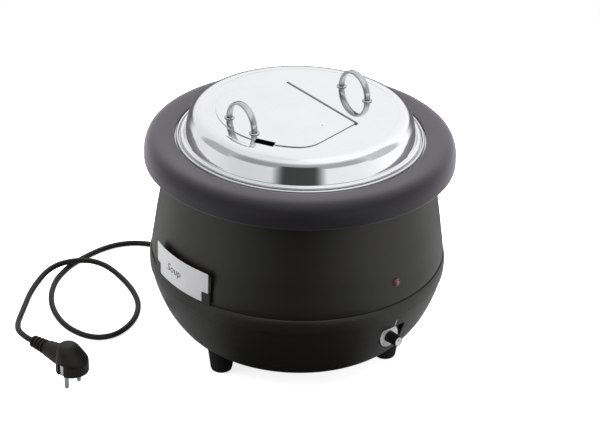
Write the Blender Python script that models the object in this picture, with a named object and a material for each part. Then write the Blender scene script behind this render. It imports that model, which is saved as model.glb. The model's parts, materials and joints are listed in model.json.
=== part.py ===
"""Electric soup tureen: a round bain-marie kettle with a lift-out pot, a flap lid and a mains lead.

Metres, +Z up. The origin is on the floor under the kettle's axis. -Y is the front with the label,
+X carries the control knob and the pilot lamp, and the mains lead leaves low on the -X side.
"""

import math

import bmesh
import bpy
from mathutils import Matrix, Vector

# ---------------------------------------------------------------- driving dimensions
GAP = 0.0003                    # clearance between pieces that touch
COLLAR_R = 0.170                # widest radius, the collar's lower outer edge
COLLAR_BOTTOM_Z = 0.2335
COLLAR_SHEET = 0.0012
CASING_SHEET = 0.0012
CASING_TOP_R = 0.1480
CASING_FLANGE_Z = 0.2551
SEAM_Z = 0.1210                 # lower bowl's rim, which laps over the upper casing
BOWL_RIM_R = 0.1643
BOWL_FLANGE_Z = 0.0296
BOWL_FLANGE_INNER_R = 0.100

BASIN_R = 0.1278                # inside radius of the water basin
BASIN_BOTTOM_Z = 0.0587
BASIN_FLANGE_Z = 0.2562
BASIN_FLANGE_R = 0.1440
BASIN_CORNER = 0.030
BASIN_SHEET = 0.0008

POT_R = 0.1205                  # inside radius of the insert pot
POT_BOTTOM_Z = 0.0680
POT_CORNER = 0.026
POT_SHEET = 0.0008
POT_RIM_Z = 0.2580              # flat of the rim, where the lid sits
POT_BEAD_R = 0.1336
BEAD = 0.0015

LID_YAW = math.radians(-4.0)    # the loose lid's turn about the kettle's axis
LID_SHEET = 0.0008
LID_BEAD_R = 0.1292
LID_TOP_Z = 0.2885              # top face of the lid's flat
LID_CUT_Z = (0.28, 0.30)        # height range of the cutters through the lid's flat
FLAT_CUT_Z = (0.026, 0.034)     # height range of the cutters through the bowl's flange and the plate
FLAP_SHEET = 0.0008
FLAP_R = 0.0925                 # the flap's round front edge
FLAP_SIDE_X = 0.0795            # where the flap's straight side would meet that edge
FLAP_SIDE_Y = -0.0473
FLAP_CORNER = 0.014
LEDGE = 0.005                   # how far the flap overlaps the lid round its opening
HINGE_Y = 0.027
HINGE_HALF = 0.0610
HINGE_Z = LID_TOP_Z + GAP + FLAP_SHEET / 2
KNUCKLE_R = 0.0013
KNUCKLE_BORE_R = 0.00095
PIN_R = 0.0007
KNUCKLES = 5
SLOT_LENGTH = 0.022             # ladle slot, along the lid's edge
SLOT_INNER_R = 0.0877
SLOT_OUTER_R = 0.0961
SLOT_ANGLE = math.radians(-61.4)

HANDLE_R = 0.0226               # arch of the handles, measured at the middle of the band
HANDLE_HALF_WIDTH = 0.0040
HANDLE_HALF_THICK = 0.0019
HANDLE_LEG = 0.0004
FRONT_HANDLE = (-0.0010, -0.078)   # middle of each handle in the lid's own frame
REAR_HANDLE = (0.0014, 0.0718)
WASHER_R = 0.0055
WASHER_H = 0.0010
SCREW_HEAD_R = 0.0040
SCREW_HEAD_H = 0.0022
SCREW_R = 0.0015
SCREW_HOLE_R = 0.0019

FOOT_RING_R = 0.108             # the three feet stand on this circle
FOOT_ANGLES = {"front": -90.0, "right": 30.0, "left": 150.0}
FOOT_TOP_R = 0.0155
FOOT_BASE_R = 0.0113
FOOT_BORE_R = 0.0022
FOOT_SCREW_R = 0.0018
FOOT_RECESS_R = 0.0050
FOOT_RECESS_H = 0.0120
PLATE_Z = (0.0281, 0.0293)
PLATE_R = 0.119
VENT_COUNT = 8
VENT_RING_R = 0.060
VENT_R = 0.005

KNOB_Z = 0.0752                 # axis of the control knob, along +X
POCKET_FLOOR_X = 0.1515
POCKET_HALF = 0.0168
POCKET_TOP_Z = 0.0905
POCKET_BOTTOM_Z = 0.0560
DIAL_R = 0.0128
DIAL_X = (0.1521, 0.1533)
KNOB_X = (0.1536, 0.1682)
KNOB_BASE_R = 0.0066
KNOB_TIP_R = 0.0056
CAP_R = 0.0048
SHAFT_R = 0.0030
SHAFT_HOLE_R = 0.0034
SHAFT_X = (0.1420, 0.1600)
THERMOSTAT_X = (0.1300, 0.1440)
THERMOSTAT_HALF = 0.016
THERMOSTAT_Z = (0.0600, 0.0904)
BUSH_R = 0.0052
LAMP_Z = 0.145
LAMP_LENS_R = 0.0037
LAMP_HOLE_R = 0.0041
LAMP_BODY_R = 0.0050

ELEMENT_RING_R = 0.075          # tubular heater under the basin
ELEMENT_R = 0.0032
CLAMP_ARM = 0.088
CLAMP_Z = (0.0490, 0.0504)

LABEL_ANGLE = -92.0             # degrees round the kettle, middle of the label
CARD_HALF_ANGLE = 16.0
CARD_R = (0.1642, 0.1648)
CARD_Z = (0.1219, 0.1580)
HOLDER_R = (0.1633, 0.1639)
HOLDER_Z = (0.1210, 0.1556)
HOLDER_HALF_ANGLE = 17.0
TAB_R = (0.1651, 0.1657)
TAB_HALF_ANGLE = 13.2           # the corner tabs run from here to the holder's ends
TAB_TOP_Z = 0.1345

CORD_R = 0.0033
CORD_POINTS = 70
LEAD_STRAIGHT = 0.008           # straight stretch of lead at the gland and at the plug
GLAND_Z = 0.047
GLAND_SURFACE_R = 0.1402
GLAND_DROP = math.radians(38.0) # the gland points down along the bowl's normal
GLAND_LENGTH = 0.030
GLAND_STEM_R = 0.0060

PLUG_SPOT = (-0.0758, -0.2562)  # middle of the pins' tips on the floor
PLUG_HEADING = math.radians(10.4)
PIN_LENGTH = 0.0190
PIN_SPACING = 0.0190
PLUG_PIN_R = 0.0024
PLUG_SECTIONS = [                # height, middle, half length and half width of the plug's head
    (0.0190, 0.0, 0.0182, 0.0182), (0.0320, 0.0, 0.0182, 0.0182), (0.0350, -0.0006, 0.0175, 0.0176),
    (0.0400, -0.0030, 0.0150, 0.0155), (0.0450, -0.0052, 0.0122, 0.0130), (0.0480, -0.0066, 0.0098, 0.0108),
    (0.0498, -0.0074, 0.0062, 0.0075),
]
PLUG_AXIS_Z = 0.0317            # height of the lead where it enters the plug
SLEEVE_X = (-0.0612, -0.0360)   # from the plug's middle, along its heading
SLEEVE_R = 0.0086

TURN_STEPS = 32                 # facets of the large turned shells
SMALL_STEPS = 12
BAND_SIDES = 12
PLUG_SIDES = 24

# Route of the mains lead: out of the gland, down to the floor, round one loop that passes over
# itself, and up into the plug that stands on its pins.
CORD_ROUTE = [
    (-0.1790, 0.0010, 0.0181), (-0.1910, 0.0025, 0.0120),
    (-0.2070, 0.0050, 0.0066), (-0.2260, 0.0080, 0.0040), (-0.2460, 0.0060, 0.0034),
    (-0.2660, -0.0050, 0.0034), (-0.2810, -0.0190, 0.0034), (-0.2900, -0.0370, 0.0034),
    (-0.2930, -0.0560, 0.0034), (-0.2920, -0.0750, 0.0034), (-0.2890, -0.0940, 0.0034),
    (-0.2850, -0.1100, 0.0034), (-0.2790, -0.1240, 0.0034), (-0.2680, -0.1430, 0.0034),
    (-0.2530, -0.1600, 0.0034), (-0.2370, -0.1730, 0.0034), (-0.2180, -0.1840, 0.0034),
    (-0.1950, -0.1920, 0.0034), (-0.1720, -0.1950, 0.0034), (-0.1510, -0.1920, 0.0034),
    (-0.1370, -0.1850, 0.0034), (-0.1290, -0.1750, 0.0034), (-0.1260, -0.1600, 0.0034),
    (-0.1310, -0.1400, 0.0034), (-0.1430, -0.1200, 0.0034), (-0.1610, -0.1030, 0.0034),
    (-0.1820, -0.0920, 0.0034), (-0.2070, -0.0845, 0.0038), (-0.2310, -0.0820, 0.0056),
    (-0.2500, -0.0840, 0.0082), (-0.2650, -0.0910, 0.0102), (-0.2760, -0.1020, 0.0108),
    (-0.2830, -0.1160, 0.0108), (-0.2860, -0.1310, 0.0098), (-0.2840, -0.1480, 0.0072),
    (-0.2730, -0.1690, 0.0052), (-0.2550, -0.1910, 0.0068), (-0.2320, -0.2130, 0.0110),
    (-0.2090, -0.2340, 0.0165), (-0.1870, -0.2525, 0.0228), (-0.1655, -0.2650, 0.0286),
]

# ---------------------------------------------------------------- materials


def material(name, colour, roughness, metallic=0.0):
    """A Principled material with one colour."""
    made = bpy.data.materials.new(name)
    made.use_nodes = True
    shader = made.node_tree.nodes["Principled BSDF"]
    shader.inputs["Base Color"].default_value = (*colour, 1.0)
    shader.inputs["Roughness"].default_value = roughness
    shader.inputs["Metallic"].default_value = metallic
    made.diffuse_color = (*colour, 1.0)
    return made


def casing_paint():
    return material("casing_paint", (0.016, 0.016, 0.015), 0.55)


def collar_plastic():
    return material("collar_plastic", (0.075, 0.068, 0.085), 0.6)


def polished_steel(name="polished_steel"):
    return material(name, (0.75, 0.76, 0.77), 0.1, 1.0)


def plain_steel(name="plain_steel"):
    return material(name, (0.55, 0.56, 0.57), 0.35, 1.0)


def black_plastic(name="black_plastic"):
    return material(name, (0.012, 0.012, 0.012), 0.5)


# ---------------------------------------------------------------- modelling helpers


def new_object(name, mesh_build, finish, matrix=None):
    """Link a bmesh as a named, smooth-shaded object with one material."""
    bmesh.ops.remove_doubles(mesh_build, verts=mesh_build.verts, dist=1e-6)
    bmesh.ops.recalc_face_normals(mesh_build, faces=mesh_build.faces)
    if matrix is not None:
        bmesh.ops.transform(mesh_build, matrix=matrix, verts=mesh_build.verts)
    mesh = bpy.data.meshes.new(name)
    mesh_build.to_mesh(mesh)
    mesh_build.free()
    mesh.materials.append(finish)
    mesh.shade_smooth()
    mesh.set_sharp_from_angle(angle=math.radians(35))
    made = bpy.data.objects.new(name, mesh)
    bpy.context.scene.collection.objects.link(made)
    return made


def turned(name, outline, finish, steps=TURN_STEPS, matrix=None):
    """Spin a closed outline of (radius, z) points about Z. It may touch the axis."""
    build = bmesh.new()
    corners = [build.verts.new((radius, 0.0, z)) for radius, z in outline]
    pairs = zip(corners, corners[1:] + corners[:1])
    edges = [build.edges.new(pair) for pair in pairs if pair[0].co.x > 0.0 or pair[1].co.x > 0.0]
    bmesh.ops.spin(build, geom=corners + edges, cent=(0, 0, 0), axis=(0, 0, 1),
                   angle=2 * math.pi, steps=steps, use_merge=True)
    return new_object(name, build, finish, matrix)


def extruded(name, outline, low, high, finish, matrix=None):
    """Raise a closed outline of (x, y) points from z = low to z = high."""
    build = bmesh.new()
    base = build.faces.new([build.verts.new((x, y, low)) for x, y in outline])
    grown = bmesh.ops.extrude_face_region(build, geom=[base])
    top = [item for item in grown["geom"] if isinstance(item, bmesh.types.BMVert)]
    bmesh.ops.translate(build, verts=top, vec=(0, 0, high - low))
    return new_object(name, build, finish, matrix)


def block(name, low, high, finish, bevel=0.0, matrix=None):
    """A box between two corners, with bevelled edges if asked."""
    outline = [(low[0], low[1]), (high[0], low[1]), (high[0], high[1]), (low[0], high[1])]
    made = extruded(name, outline, low[2], high[2], finish, matrix)
    if bevel:
        edge = made.modifiers.new("edge", "BEVEL")
        edge.width = bevel
        edge.segments = 2
    return made


def rod(name, points, radius, finish, resolution=3):
    """A round rod or cable along points, with flat filled ends."""
    curve = bpy.data.curves.new(name, "CURVE")
    curve.dimensions = "3D"
    curve.bevel_depth = radius
    curve.bevel_resolution = resolution
    curve.use_fill_caps = True
    spline = curve.splines.new("POLY")
    spline.points.add(len(points) - 1)
    for item, place in zip(spline.points, points):
        item.co = (*place, 1.0)
    curve.materials.append(finish)
    made = bpy.data.objects.new(name, curve)
    bpy.context.scene.collection.objects.link(made)
    return made


def boolean(target, tool, operation="DIFFERENCE"):
    """Add an exact Boolean whose tool is left out of the model."""
    step = target.modifiers.new(tool.name, "BOOLEAN")
    step.operation = operation
    step.solver = "EXACT"
    step.object = tool
    tool.hide_render = True
    tool.display_type = "WIRE"


def cylinder(name, radius, low, high, finish, steps=SMALL_STEPS, matrix=None):
    return turned(name, [(0, high), (radius, high), (radius, low), (0, low)], finish, steps, matrix)


def along_x(place=(0.0, 0.0, 0.0)):
    """Matrix that lays a turned piece's axis along +X from a place."""
    return Matrix.Translation(place) @ Matrix.Rotation(math.pi / 2, 4, "Y")


def lid_turn():
    return Matrix.Rotation(LID_YAW, 4, "Z")


def sheet_outline(path, thickness):
    """Close an open (radius, z) path into a sheet by offsetting it to its right-hand side."""
    count = len(path)
    inner = []
    for index in range(count):
        here = Vector(path[index])
        before = (here - Vector(path[max(index - 1, 0)]))
        after = (Vector(path[min(index + 1, count - 1)]) - here)
        before = before.normalized() if before.length > 0 else after.normalized()
        after = after.normalized() if after.length > 0 else before
        middle = (before + after).normalized()
        side = Vector((middle.y, -middle.x))
        stretch = 1.0 / max(side.dot(Vector((before.y, -before.x))), 0.5)
        inner.append(here + side * thickness * stretch)
    if path[-1][0] == 0.0:
        inner[-1].x = 0.0
    return [tuple(point) for point in path] + [tuple(point) for point in reversed(inner)]


def arc(centre, radius, start, stop, steps):
    """Points on a circular arc, angles in degrees, both ends included."""
    angles = [math.radians(start + (stop - start) * step / steps) for step in range(steps + 1)]
    return [(centre[0] + radius * math.cos(a), centre[1] + radius * math.sin(a)) for a in angles]


def smooth_points(route, count):
    """Evenly spaced points on a Catmull-Rom curve through a route."""
    knots = [Vector(place) for place in route]
    knots = [2 * knots[0] - knots[1]] + knots + [2 * knots[-1] - knots[-2]]
    dense = []
    for a, b, c, d in zip(knots, knots[1:], knots[2:], knots[3:]):
        for step in range(24):
            t = step / 24
            dense.append(0.5 * (2 * b + (c - a) * t + (2 * a - 5 * b + 4 * c - d) * t * t
                                + (3 * b - a - 3 * c + d) * t ** 3))
    dense.append(knots[-2])
    reach = [0.0]
    for a, b in zip(dense, dense[1:]):
        reach.append(reach[-1] + (b - a).length)
    points = []
    index = 0
    for step in range(count):
        goal = reach[-1] * step / (count - 1)
        while index < len(reach) - 2 and reach[index + 1] < goal:
            index += 1
        part = (goal - reach[index]) / (reach[index + 1] - reach[index])
        points.append(dense[index].lerp(dense[index + 1], part))
    return points


def arc_block(name, radii, angles, heights, finish, step=2.0):
    """Part of a ring between two radii, two angles in degrees and two heights."""
    steps = max(1, round((angles[1] - angles[0]) / step))
    outer = arc((0, 0), radii[1], angles[0], angles[1], steps)
    inner = arc((0, 0), radii[0], angles[1], angles[0], steps)
    return extruded(name, outer + inner, heights[0], heights[1], finish)


# ---------------------------------------------------------------- casing


def collar_ring(finish):
    """Rounded plastic collar, open inside, that caps the casing's top edge."""
    path = [(0.1366, 0.2575), (0.1376, 0.2584), (0.1460, 0.2594), (0.1560, 0.2600),
            (0.1620, 0.2585), (0.1668, 0.2545), (0.1692, 0.2490), (COLLAR_R, 0.2430),
            (COLLAR_R, 0.2350), (0.1690, COLLAR_BOTTOM_Z), (CASING_TOP_R + 0.0006, COLLAR_BOTTOM_Z)]
    turned("collar_ring", sheet_outline(path, COLLAR_SHEET), finish)


def upper_casing(finish):
    """Tapered upper shell. Its lower edge tucks inside the lower bowl's rim."""
    path = [(0.1400, CASING_FLANGE_Z), (CASING_TOP_R, CASING_FLANGE_Z), (CASING_TOP_R, 0.2300),
            (0.1505, 0.2070), (0.1541, 0.1822), (0.1571, 0.1638), (0.1598, 0.1453),
            (0.1620, 0.1300), (0.1627, SEAM_Z + 0.0005), (0.1627, 0.1080)]
    shell = turned("upper_casing", sheet_outline(path, CASING_SHEET), finish)
    hole = cylinder("lamp_hole", LAMP_HOLE_R, 0.150, 0.170, finish, matrix=along_x((0, 0, LAMP_Z)))
    boolean(shell, hole)


def bowl_path():
    """Outer side of the lower bowl, from its rim to the flange under it."""
    return [(BOWL_RIM_R, SEAM_Z - GAP), (0.1645, 0.1100), (0.1638, 0.1020), (0.1600, 0.0890),
            (0.1560, 0.0770), (0.1500, 0.0628), (0.1425, 0.0500), (0.1340, 0.0385),
            (0.1270, 0.0318), (0.1210, BOWL_FLANGE_Z), (BOWL_FLANGE_INNER_R, BOWL_FLANGE_Z)]


def lower_bowl(finish):
    """Lower shell with a pressed pocket for the knob and holes for the gland and the feet."""
    shell = turned("lower_bowl", sheet_outline(bowl_path(), CASING_SHEET), finish)
    pan = block("pocket_pan", (POCKET_FLOOR_X - CASING_SHEET, -POCKET_HALF - CASING_SHEET, POCKET_BOTTOM_Z),
                (0.170, POCKET_HALF + CASING_SHEET, POCKET_TOP_Z + CASING_SHEET), finish)
    outside = bowl_path()[:-1]
    limit = [(0, outside[0][1])] + outside + [(0, outside[-1][1])]
    boolean(pan, turned("bowl_envelope", limit, finish), "INTERSECT")
    boolean(shell, pan, "UNION")
    pocket = block("pocket_hollow", (POCKET_FLOOR_X, -POCKET_HALF, POCKET_BOTTOM_Z - 0.004),
                   (0.175, POCKET_HALF, POCKET_TOP_Z), finish)
    boolean(shell, pocket)
    boolean(shell, cylinder("shaft_hole", BUSH_R + GAP, 0.140, 0.160, finish, matrix=along_x((0, 0, KNOB_Z))))
    boolean(shell, cylinder("gland_hole", GLAND_STEM_R + GAP, -0.012, 0.006, finish, matrix=gland_frame()))
    for label, angle in FOOT_ANGLES.items():
        spot = foot_place(angle)
        boolean(shell, cylinder("bowl_hole_" + label, FOOT_BORE_R, *FLAT_CUT_Z, finish, 12, spot))


def base_plate(finish):
    """Disc that closes the bowl from below, with round vents and the feet's screw holes."""
    plate = cylinder("base_plate", PLATE_R, PLATE_Z[0], PLATE_Z[1], finish, TURN_STEPS)
    for label, angle in FOOT_ANGLES.items():
        spot = foot_place(angle)
        boolean(plate, cylinder("plate_hole_" + label, FOOT_BORE_R, *FLAT_CUT_Z, finish, 12, spot))
    for index in range(VENT_COUNT):
        turn = 2 * math.pi * index / VENT_COUNT
        place = Matrix.Translation((VENT_RING_R * math.cos(turn), VENT_RING_R * math.sin(turn), 0))
        boolean(plate, cylinder("vent_%d" % index, VENT_R, *FLAT_CUT_Z, finish, 12, place))


def hexagon_corner(clear):
    """Corner radius of a six-sided bore that clears a round shank."""
    return clear / math.cos(math.pi / 6)


def foot_place(angle):
    """A foot's place on its ring, turned a little so that no hole's corner falls on a facet's edge."""
    turn = math.radians(angle)
    spot = Matrix.Translation((FOOT_RING_R * math.cos(turn), FOOT_RING_R * math.sin(turn), 0))
    return spot @ Matrix.Rotation(math.radians(7), 4, "Z")


def feet(rubber, steel):
    """Three tapered feet, each held by a screw from below and a nut inside the bowl."""
    top = PLATE_Z[0] - GAP
    foot = [(FOOT_BORE_R, top), (FOOT_TOP_R, top), (0.0150, 0.0240), (0.0122, 0.0040),
            (FOOT_BASE_R - 0.0006, 0.0), (FOOT_RECESS_R, 0.0), (FOOT_RECESS_R, FOOT_RECESS_H),
            (FOOT_BORE_R, FOOT_RECESS_H)]
    under = FOOT_RECESS_H - GAP
    screw = [(0, 0.0370), (FOOT_SCREW_R, 0.0370), (FOOT_SCREW_R, under), (0.0042, under),
             (0.0042, under - 0.0020), (0.0034, under - 0.0030), (0, under - 0.0030)]
    flange_top = BOWL_FLANGE_Z + CASING_SHEET + GAP
    bore = hexagon_corner(FOOT_SCREW_R + GAP / 2)
    nut = [(bore, flange_top + 0.003), (0.0042, flange_top + 0.003), (0.0042, flange_top), (bore, flange_top)]
    for label, angle in FOOT_ANGLES.items():
        place = foot_place(angle)
        turned("foot_" + label, foot, rubber, 18, place)
        turned("foot_screw_" + label, screw, steel, 12, place)
        turned("foot_nut_" + label, nut, steel, 6, place)


# ---------------------------------------------------------------- water basin, pot and heating


def water_basin(finish):
    """Deep tank for the hot water, hung by its flange on the casing."""
    corner = arc((BASIN_R - BASIN_CORNER, BASIN_BOTTOM_Z + BASIN_CORNER), BASIN_CORNER, 0, -90, 4)
    path = [(BASIN_FLANGE_R, BASIN_FLANGE_Z), (BASIN_R + 0.0010, BASIN_FLANGE_Z),
            (BASIN_R, BASIN_FLANGE_Z - 0.0010)] + corner + [(0.0, BASIN_BOTTOM_Z)]
    turned("water_basin", sheet_outline(path, -BASIN_SHEET), finish)


def insert_pot(finish):
    """Lift-out pot whose beaded rim rests on the basin's flange."""
    bead = arc((POT_BEAD_R, POT_RIM_Z), BEAD, 180, -140, 6)
    wall_top = (POT_R, POT_RIM_Z - 0.0040)
    corner = arc((POT_R - POT_CORNER, POT_BOTTOM_Z + POT_CORNER), POT_CORNER, 0, -90, 4)
    inner = [(0.0, POT_BOTTOM_Z)] + corner[::-1] + [wall_top, (POT_R + 0.0015, POT_RIM_Z - 0.0010),
                                                     (POT_R + 0.0040, POT_RIM_Z)]
    outer = [(POT_R + 0.0045, POT_RIM_Z - POT_SHEET), (POT_R + POT_SHEET + 0.0012, POT_RIM_Z - 0.0020),
             (POT_R + POT_SHEET, wall_top[1])]
    below = arc((POT_R - POT_CORNER, POT_BOTTOM_Z + POT_CORNER), POT_CORNER + POT_SHEET, 0, -90, 4)
    outline = inner + bead + outer + below + [(0.0, POT_BOTTOM_Z - POT_SHEET)]
    turned("insert_pot", outline, finish)


def heating(steel, dark, brass):
    """Tubular element, its three-armed clamp and bolt, and the thermal cut-out."""
    under = BASIN_BOTTOM_Z - BASIN_SHEET - GAP
    level = under - ELEMENT_R
    ring = [(x, y, level) for x, y in arc((0, 0), ELEMENT_RING_R, 16, 344, 30)]
    first = (ring[0][0] + 0.0060, ring[0][1] - 0.0030)
    last = (ring[-1][0] + 0.0060, ring[-1][1] + 0.0030)
    tail_a = [(*first, level - 0.0130), (*first, level - 0.0040)]
    tail_b = [(*last, level - 0.0040), (*last, level - 0.0130)]
    rod("heating_element", tail_a + ring + tail_b, ELEMENT_R, dark, 2)

    arm = block("heater_clamp", (-0.012, -0.006, CLAMP_Z[0]), (CLAMP_ARM, 0.006, CLAMP_Z[1]), steel,
                matrix=Matrix.Rotation(math.radians(60), 4, "Z"))
    for label, angle in (("b", 180), ("c", 300)):
        more = block("clamp_arm_" + label, (-0.010, -0.006, CLAMP_Z[0]), (CLAMP_ARM, 0.006, CLAMP_Z[1]),
                     steel, matrix=Matrix.Rotation(math.radians(angle), 4, "Z"))
        boolean(arm, more, "UNION")
    boolean(arm, cylinder("clamp_hole", 0.0034, 0.04, 0.06, steel, 12))

    bolt = [(0, under), (0.0030, under), (0.0030, CLAMP_Z[0] - GAP), (0.0060, CLAMP_Z[0] - GAP),
            (0.0060, CLAMP_Z[0] - 0.0042), (0, CLAMP_Z[0] - 0.0042)]
    turned("clamp_bolt", bolt, steel, 12)
    cutout = [(0, under), (0.0080, under), (0.0080, under - 0.0050), (0.0060, under - 0.0050),
              (0.0060, under - 0.0100), (0, under - 0.0100)]
    turned("thermal_cutout", cutout, brass, SMALL_STEPS, Matrix.Translation((0.0, 0.040, 0.0)))


# ---------------------------------------------------------------- controls


def controls(black, silver, white, dark, steel):
    """Thermostat behind the pocket; shaft, dial, knob and cap turn on one axis."""
    half = THERMOSTAT_HALF
    body = block("thermostat_body", (THERMOSTAT_X[0], -half, THERMOSTAT_Z[0]),
                 (THERMOSTAT_X[1], half, THERMOSTAT_Z[1]), dark)
    axis = along_x((0, 0, KNOB_Z))
    bush = cylinder("thermostat_bush", BUSH_R, THERMOSTAT_X[1] - 0.001, POCKET_FLOOR_X, dark, matrix=axis)
    boolean(body, bush, "UNION")
    boolean(body, cylinder("bush_bore", SHAFT_HOLE_R, SHAFT_X[0] - 0.001, 0.170, dark, matrix=axis))
    cylinder("thermostat_shaft", SHAFT_R, SHAFT_X[0], SHAFT_X[1], steel, 12, axis)

    dial = [(SHAFT_HOLE_R, DIAL_X[1]), (DIAL_R - 0.0003, DIAL_X[1]), (DIAL_R, DIAL_X[1] - 0.0003),
            (DIAL_R, DIAL_X[0]), (SHAFT_HOLE_R, DIAL_X[0])]
    turned("dial_ring", dial, silver, 20, axis)
    seat = KNOB_X[1] - 0.0008
    bore_end = SHAFT_X[1] + GAP
    knob = [(0, seat), (CAP_R + GAP, seat), (CAP_R + GAP, KNOB_X[1]), (KNOB_TIP_R - 0.0002, KNOB_X[1]),
            (KNOB_TIP_R, KNOB_X[1] - 0.0004), (KNOB_BASE_R, KNOB_X[0]), (SHAFT_HOLE_R, KNOB_X[0]),
            (SHAFT_HOLE_R, bore_end), (0, bore_end)]
    turned("control_knob", knob, black, 20, axis)
    cap = [(0, KNOB_X[1] + 0.0004), (CAP_R - 0.0003, KNOB_X[1] + 0.0004), (CAP_R, KNOB_X[1]),
           (CAP_R, seat + GAP), (0, seat + GAP)]
    turned("knob_cap", cap, silver, 16, axis)

    slope = math.atan2(0.1638 - 0.1600, 0.1020 - 0.0890)
    mark = Matrix.Translation((0.1621, 0, 0.0962)) @ Matrix.Rotation(slope, 4, "Y")
    block("index_mark", (0.0, -0.0007, -0.0042), (0.0004, 0.0007, 0.0042), white, matrix=mark)


def pilot_lamp(red, dark):
    """Small red lens in the casing and the lamp holder behind it."""
    axis = along_x((0, 0, LAMP_Z))
    lens = [(0, 0.1626), (0.0016, 0.1624), (0.0029, 0.1617), (LAMP_LENS_R, 0.1605),
            (LAMP_LENS_R, 0.1566), (0, 0.1566)]
    turned("pilot_lens", lens, red, SMALL_STEPS, axis)
    cylinder("pilot_lamp_body", LAMP_BODY_R, 0.1400, 0.1566 - GAP, dark, SMALL_STEPS, axis)


def terminal_block(finish):
    """Screw terminals for the mains lead, on the bowl's flange by the gland."""
    low = BOWL_FLANGE_Z + CASING_SHEET + GAP
    block("terminal_block", (-0.112, -0.020, low), (-0.098, 0.020, low + 0.013), finish, 0.0008)


# ---------------------------------------------------------------- lid


def flap_corner(offset):
    """Right-hand half of the flap's outline, front to back, drawn in by an offset."""
    radius = FLAP_R - offset
    rear = Vector((HINGE_HALF + 0.0005 - offset, HINGE_Y - KNUCKLE_R - 0.0004))
    side_direction = Vector((FLAP_SIDE_X - HINGE_HALF, FLAP_SIDE_Y - HINGE_Y)).normalized()
    along = rear.dot(side_direction)
    reach = -along + math.sqrt(along ** 2 + radius ** 2 - rear.length_squared)
    meet = rear + side_direction * reach
    before = meet - side_direction * FLAP_CORNER
    meet_angle = math.degrees(math.atan2(meet.y, meet.x))
    after_angle = meet_angle - math.degrees(FLAP_CORNER / radius)
    after = Vector(arc((0, 0), radius, after_angle, after_angle, 1)[0])
    bend = []
    for step in range(1, 5):
        t = step / 5
        bend.append(tuple(after * (1 - t) ** 2 + meet * 2 * t * (1 - t) + before * t * t))
    return arc((0, 0), radius, -90, after_angle, 7) + bend + [tuple(before), tuple(rear)]


def flap_outline(offset=0.0):
    """Flap's plan: straight sides that spread from the hinge to a round front edge."""
    right = flap_corner(offset)
    left = [(-x, y) for x, y in reversed(right[1:])]
    return right + left


def ladle_slot(name, inner_r, finish):
    """Cutter for the slot that the ladle's handle stands in."""
    turn = lid_turn() @ Matrix.Rotation(SLOT_ANGLE, 4, "Z")
    half = SLOT_LENGTH / 2
    low, high = LID_CUT_Z
    return block(name, (inner_r, -half, low), (SLOT_OUTER_R, half, high), finish, matrix=turn)


def lid_shell(finish):
    """Domed lid: rolled edge, leaning wall, round shoulder and a flat with the flap's opening."""
    bead = arc((LID_BEAD_R, POT_RIM_Z + GAP + BEAD), BEAD, 130, -130, 5)
    top = [(0, LID_TOP_Z), (0.1060, LID_TOP_Z), (0.1100, 0.2884), (0.1135, 0.2878), (0.1165, 0.2864),
           (0.1190, 0.2843), (0.1208, 0.2815), (0.1222, 0.2785), (0.1243, 0.2700), (0.1256, 0.2635),
           (0.1267, 0.2609)]
    sheet = sheet_outline(top, LID_SHEET)
    outline = sheet[:len(top)] + bead + sheet[len(top):]
    turn = lid_turn()
    shell = turned("lid_shell", outline, finish, TURN_STEPS, turn)
    boolean(shell, extruded("lid_opening", flap_outline(LEDGE), *LID_CUT_Z, finish, turn))
    boolean(shell, block("hinge_slot", (-HINGE_HALF - 0.002, HINGE_Y - 0.0030, LID_CUT_Z[0]),
                         (HINGE_HALF + 0.002, HINGE_Y + 0.0018, LID_CUT_Z[1]), finish, matrix=turn))
    boolean(shell, ladle_slot("lid_ladle_slot", SLOT_INNER_R - 0.006, finish))
    screw_holes(shell, "lid", REAR_HANDLE, finish)


def screw_holes(sheet, label, middle, finish):
    """Two holes for the screws of a handle."""
    for side in (-1, 1):
        spot = lid_turn() @ Matrix.Translation((middle[0] + side * HANDLE_R, middle[1], 0))
        name = "%s_screw_hole_%d" % (label, side)
        boolean(sheet, cylinder(name, SCREW_HOLE_R, *LID_CUT_Z, finish, 12, spot))


def knuckle(name, index, finish):
    """One barrel of the hinge, bored for the pin; knuckles are counted from the left end."""
    pitch = 2 * HINGE_HALF / KNUCKLES
    low = -HINGE_HALF + pitch * index + 0.0002
    high = low + pitch - 0.0004
    ring = [(KNUCKLE_BORE_R, high), (KNUCKLE_R, high), (KNUCKLE_R, low), (KNUCKLE_BORE_R, low)]
    return turned(name, ring, finish, 12, lid_turn() @ along_x((0, HINGE_Y, HINGE_Z))), low, high


def lid_flap(finish):
    """Flap sheet with two rolled knuckles, the ladle notch and the handle's screw holes."""
    turn = lid_turn()
    low = LID_TOP_Z + GAP
    high = low + FLAP_SHEET
    flap = extruded("lid_flap", flap_outline(), low, high, finish, turn)
    for index in (1, 3):
        barrel, start, end = knuckle("flap_knuckle_%d" % index, index, finish)
        bridge = block("flap_bridge_%d" % index, (start + 0.0003, HINGE_Y - 0.0040, low + 0.0001),
                       (end - 0.0003, HINGE_Y - KNUCKLE_BORE_R - 0.0002, high - 0.0001), finish, matrix=turn)
        boolean(flap, bridge, "UNION")
        boolean(flap, barrel, "UNION")
    boolean(flap, ladle_slot("flap_ladle_slot", SLOT_INNER_R, finish))
    screw_holes(flap, "flap", FRONT_HANDLE, finish)


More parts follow.
